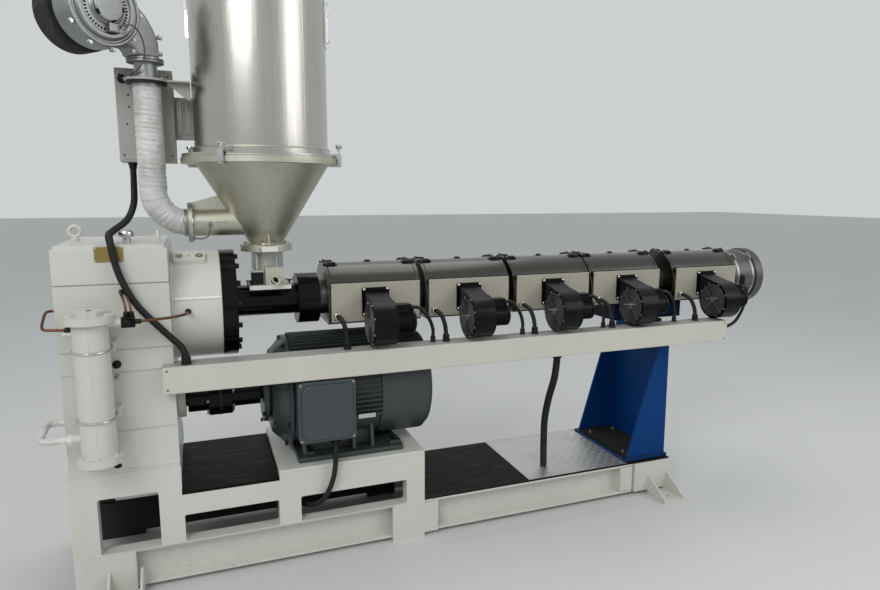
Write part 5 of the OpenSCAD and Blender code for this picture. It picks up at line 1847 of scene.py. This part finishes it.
@dataclass
class SupportColumn:
    """Blue column under the barrel with its black base plate, bolts and cleats; painted shade darkens its head and
    lies as a dark sheet on the floor inside it.
    """

    x: tuple[float, float] = (2106.0, 2338.0)
    half_w: float = 225.0
    plate_top: float = 190.0

    def build(self) -> None:
        """Builds the column."""
        softened("support_column", BLUE_PAINT, 2.5)
        low, high = self.x
        top = self.plate_top
        plate = slab((low - 15.5, -self.half_w - 9.5, 176.2), (high + 9.5, self.half_w + 9.5, top))
        make("column_base_plate", plate, BLACK_SCREW, bevel=1.5)
        # A dark sheet on the floor inside the column: painted shade.
        inside = slab((low + 4, -self.half_w + 12.2, top), (high - 20.2, self.half_w - 12.2, top + 1))
        make("column_floor_shade", inside, PAINTED_SHADE)
        bolt = hex_bolt(11, (0, 0, top + 1), Z)
        spots = [(x, y, 0) for x in (low + 34, high - 48) for y in (-150, 150)]
        make("column_bolts", bolt.repeated(spots), ZINC)
        head = hex_bolt(9, (0, 0, 890), Z).repeated([(2290, -136, 0), (2290, 136, 0)])
        side = hex_bolt(8, (0, -150, 0), Y, -1).repeated([(x, 0, z) for x in (2292, 2322) for z in (820, 866)])
        make("column_head_bolts", head + side.both_sides(), ZINC)
        y = -self.half_w - 0.5
        beads = ((low + 2, high - 2, top + 1), (low + 172, high - 8, 778))
        seams = joined([weld((a, y, z), (b, y, z), 2.6, (0, 1, 0.2), 80 + i) for i, (a, b, z) in enumerate(beads)])
        make("column_welds", seams.both_sides(), BLUE_PAINT)


@dataclass
class DriveMotor:
    """Finned drive motor: end bell, fins, feet, terminal box and fan cowl with its grille."""

    bell: float = 335.0
    frame: float = 440.0
    cowl: float = 815.0
    end: float = 1050.0
    fin_r: float = 250.0
    core_r: float = 229.0

    def body(self) -> None:
        """Turned core and end bell with ribs, and fins every five degrees and a bit."""
        core = lathe([(0, 32), (0, 128), (22, 130), (26, 112), (31, 112), (31, 160), (44, 186), (66, 208), (92, 222),
                      (92, 242), (108, 242), (112, self.core_r), (self.cowl - self.bell, self.core_r)],
                     (self.bell, 0, MOTOR_Z), X, 96)
        make("motor_core", core, MOTOR_PAINT, stands_for=["motor_frame"], bevel=2, angle=40)
        low, high = MOTOR_Z + self.core_r - 5, MOTOR_Z + self.fin_r - 1
        fin = extruded([(self.frame + 8, low), (self.cowl - 1, low), (self.cowl - 1, high), (self.frame + 14, high)],
                       Y, -2.3, 4.6)
        fins = joined([fin.turned(X, a, MOTOR_LINE) for a in np.arange(-110, 111, 5.2)])
        make("motor_fins", fins, MOTOR_PAINT, bevel=0.8)
        rib = extruded([(self.bell + 30, MOTOR_Z + 150), (self.frame - 12, MOTOR_Z + 222),
                        (self.frame - 12, MOTOR_Z + 236), (self.bell + 34, MOTOR_Z + 176)], Y, -4, 8)
        make("motor_bell_ribs", rib.ringed(X, MOTOR_LINE, 12, 15), MOTOR_PAINT, bevel=1.5)
        bolt = hex_bolt(9, (self.frame - 13, 0, MOTOR_Z + 234), X, -1)
        flat = hex_bolt(8, (self.bell, 0, MOTOR_Z + 128), X, -1)
        make("motor_bell_bolts", bolt.ringed(X, MOTOR_LINE, 8, 22.5)
             + flat.ringed(X, MOTOR_LINE, 6, 0), BLACK_SCREW)

    def feet(self) -> None:
        """Foot plates with pads, webs, foot bolts and the diagonal rib under the fins."""
        plate = extruded(rounded((454, -226), (912, 226), 10), Z, 410.2, 21.8)
        block = extruded(rounded((490, -150), (790, 150), 14), Z, 431, 90)
        web = extruded([(-150, 431), (-200, 431), (-196, 446), (-176, 560), (-150, 585)], X, 0, 16)
        webs = web.repeated([(478, 0, 0), (690, 0, 0), (772, 0, 0)])
        pads = slab((478, -200, 431), (530, -150, 444)).repeated([(0, 0, 0), (380, 0, 0)])
        side = webs + pads
        make("motor_feet", plate + block + side.both_sides(), MOTOR_PAINT, bevel=3)
        bolt = hex_bolt(14, (0, -170, 444), Z).repeated([(503, 0, 0), (884, 0, 0)])
        make("motor_foot_bolts", bolt.both_sides(), BLACK_SCREW)

    def terminal_box(self) -> None:
        """Terminal box: body, lid with an eight-cornered raised field and corner screws, and a bright tag."""
        body = extruded(rounded((448, 530), (679, 781), 16), Y, -306, 108)
        make("terminal_box", body, MOTOR_PAINT, bevel=4)
        lid = extruded(rounded((445.5, 527.5), (681.5, 782.5), 20), Y, -318, 11)
        make("terminal_box_lid", lid, MOTOR_LID, bevel=5)
        (left, low), (right, high), cut = (460, 542), (667, 768), 26
        field = [(left + cut, low), (right - cut, low), (right, low + cut), (right, high - cut), (right - cut, high),
                 (left + cut, high), (left, high - cut), (left, low + cut)]
        make("terminal_box_field", extruded(field, Y, -327, 10), MOTOR_LID, bevel=6)
        screw = front_fitting([(0, 6), (1, 6), (1.9, 4)], 0, 0, -318, 6)
        corners = [(x, 0, z) for x in (457, 670) for z in (539, 771)]
        make("terminal_box_screws", screw.repeated(corners), ZINC)
        tag = extruded(rounded((706, 584), (780, 603), 2), Y, -250.5, 1.5)
        make("motor_bright_tag", tag, BRIGHT, bevel=0.2)
        gland = lathe([(-2, 20), (10, 20), (10, 15), (20, 15)], (598, -290, 507), Z, 8)
        make("terminal_box_gland", gland, BLACK_SCREW, bevel=1)

    def fan(self) -> None:
        """Smooth cowl with small screws, the ringed grille on its end and a disc of painted shade behind the grille.
        """
        softened("fan_cowl", MOTOR_PAINT, 5.0)
        screw = lathe([(234, 5), (235, 5), (235.9, 3)], (self.cowl + 26, 0, MOTOR_Z), Z, 12)
        screws = joined([screw.turned(X, a, MOTOR_LINE) for a in (45, 135, 225, 315)])
        make("cowl_screws", screws, ZINC)
        rings = joined([hoop((self.end, 0, MOTOR_Z), r, 2.0, X, 64, 6) for r in range(30, 206, 14)])
        spoke = tube([(self.end, 0, MOTOR_Z + up) for up in (20, 110, 206)], 2.6, (1, 0, 0), 6)
        make("cowl_grille", rings + spoke.ringed(X, MOTOR_LINE, 6), MOTOR_PAINT)
        # A dark disc behind the grille: painted shade.
        dark = lathe([(0, 4), (0.6, 206), (1.4, 206)], (self.end - 1.2, 0, MOTOR_Z), X, 64)
        make("cowl_opening_shade", dark, PAINTED_SHADE)

    def build(self) -> None:
        """Builds the motor."""
        self.body()
        self.feet()
        self.terminal_box()
        self.fan()


@dataclass
class Coupling:
    """Coupling between gearbox and motor: hubs, rubber ring, bolts and collars."""

    ring_r: float = 79.0
    ring_x: float = 158.0

    def build(self) -> None:
        """Builds the coupling."""
        softened("drive_coupling", BLACK_OXIDE, 2.0, Body.COUPLING)
        r = self.ring_r
        ring = lathe([(0, r - 2), (2, r), (12, r), (14, r - 2)], (self.ring_x, 0, MOTOR_Z), X, 64)
        make("coupling_rubber", ring, RUBBER, Body.COUPLING)
        bolt = hex_bolt(9, (212, 0, MOTOR_Z + 64), X).ringed(X, MOTOR_LINE, 6)
        heads = socket_bolt(8, 9, (118, 0, MOTOR_Z + 66), X, -1).ringed(X, MOTOR_LINE, 6, 30)
        make("coupling_bolts", bolt + heads, ZINC, Body.COUPLING)
        grooves = joined([hoop((x, 0, MOTOR_Z), r, 1.6, X, 64, 6) for x, r in ((60, 56), (100, 56), (240, 50))])
        make("coupling_collars", grooves, BLACK_SCREW, Body.COUPLING)


@dataclass
class Studio:
    """Pale floor, soft lamps and the camera at the photograph's place."""

    eye: tuple[float, float, float] = (97.4, -2816.3, 1530.0)
    yaw: float = 20.78
    pitch: float = 9.02
    roll: float = -0.21
    lens: float = 26.44
    sensor: float = 36.0
    daylight: float = 0.52
    floor_half: float = 40.0

    def camera(self) -> None:
        """Camera whose axes come from its yaw, pitch and roll."""
        y, p, r = (math.radians(a) for a in (self.yaw, self.pitch, self.roll))
        ahead = np.array([math.sin(y) * math.cos(p), math.cos(y) * math.cos(p), -math.sin(p)])
        right = np.array([math.cos(y), -math.sin(y), 0.0])
        down = np.cross(ahead, right)
        across = math.cos(r) * right + math.sin(r) * down
        below = -math.sin(r) * right + math.cos(r) * down
        place = np.array(self.eye) / 1000 + DATUM
        columns = np.stack([across, -below, -ahead, place], axis=1)
        data = bpy.data.cameras.new("camera")
        data.sensor_width = self.sensor
        data.lens = self.lens
        data.clip_end = 200.0
        seen = add_object("camera", data)
        seen.matrix_world = Matrix(columns.tolist() + [[0.0, 0.0, 0.0, 1.0]])
        bpy.context.scene.camera = seen

    def floor(self) -> None:
        """A wide pale floor with a faint unevenness."""
        mesh = bpy.data.meshes.new("floor")
        h = self.floor_half
        mesh.from_pydata([(-h, -h, 0), (h, -h, 0), (h, h, 0), (-h, h, 0)], [], [(0, 1, 2, 3)])
        graph = Graph(bpy.data.materials.new("floor_finish"))
        cloud = graph.noise(1.4, 3)
        tint = graph.blend(cloud, tone(206, 208, 206), tone(212, 213, 211))
        mesh.materials.append(graph.surface({"Base Color": tint, "Roughness": 0.55}))
        add_object("floor", mesh)

    def lamp(self, name: str, place: Point, aim: Point, size: float, power: float) -> None:
        """A square soft lamp.

        Args:
            name: the lamp's name.
            place: where it stands, in metres of the frame.
            aim: point that it shines at.
            size: length of its sides in metres.
            power: its power in watts.
        """
        data = bpy.data.lights.new(name, "AREA")
        data.size = size
        data.energy = power
        lamp = add_object(name, data)
        lamp.location = place
        lamp.rotation_mode = "QUATERNION"
        lamp.rotation_quaternion = (Vector(aim) - Vector(place)).to_track_quat("-Z", "Y")

    def world(self) -> None:
        """Even light all round, and a pale backdrop where the world is seen, mirrored or looked through."""
        world = bpy.data.worlds.new("studio")
        bpy.context.scene.world = world
        graph = Graph(world, "ShaderNodeOutputWorld")
        light = graph.node("ShaderNodeBackground", {}, {"Color": tone(246, 249, 252), "Strength": self.daylight})
        seen = graph.node("ShaderNodeBackground", {}, {"Color": tone(205, 208, 208), "Strength": 1.0})
        camera, glossy, through = (graph.node("ShaderNodeLightPath", {}, {}, f"Is {ray} Ray")
                                   for ray in ("Camera", "Glossy", "Transmission"))
        shown = camera.larger(glossy).larger(through)
        graph.close(graph.node("ShaderNodeMixShader", {}, {0: shown, 1: light, 2: seen}))

    def build(self) -> None:
        """Sets the view transform and builds the studio."""
        bpy.context.scene.view_settings.view_transform = "Standard"
        self.camera()
        self.floor()
        self.world()
        self.lamp("key", (-3.6, -4.2, 4.6), (-0.3, 0.0, 0.9), 3.2, 150)
        self.lamp("fill", (3.6, -3.6, 3.4), (0.6, 0.0, 0.9), 3.0, 60)
        self.lamp("top", (0.4, 1.4, 5.2), (0.0, 0.0, 0.8), 3.5, 55)


def main() -> None:
    """Builds the studio and every sub-assembly in order."""
    logging.basicConfig(level=logging.INFO, format="%(message)s", stream=sys.stdout)
    Studio().build()
    for part in (BaseFrame(), Gearbox(), FeedSection(), Hopper(), Dryer(), ControlBox(), OilCooler(), Barrel(),
                 CableDuct(), Conduits(), SupportColumn(), DriveMotor(), Coupling()):
        part.build()
    for number, x in enumerate(ZONE_X, 1):
        ZoneBlower(number, x).build()


if __name__ == "__main__":
    main()
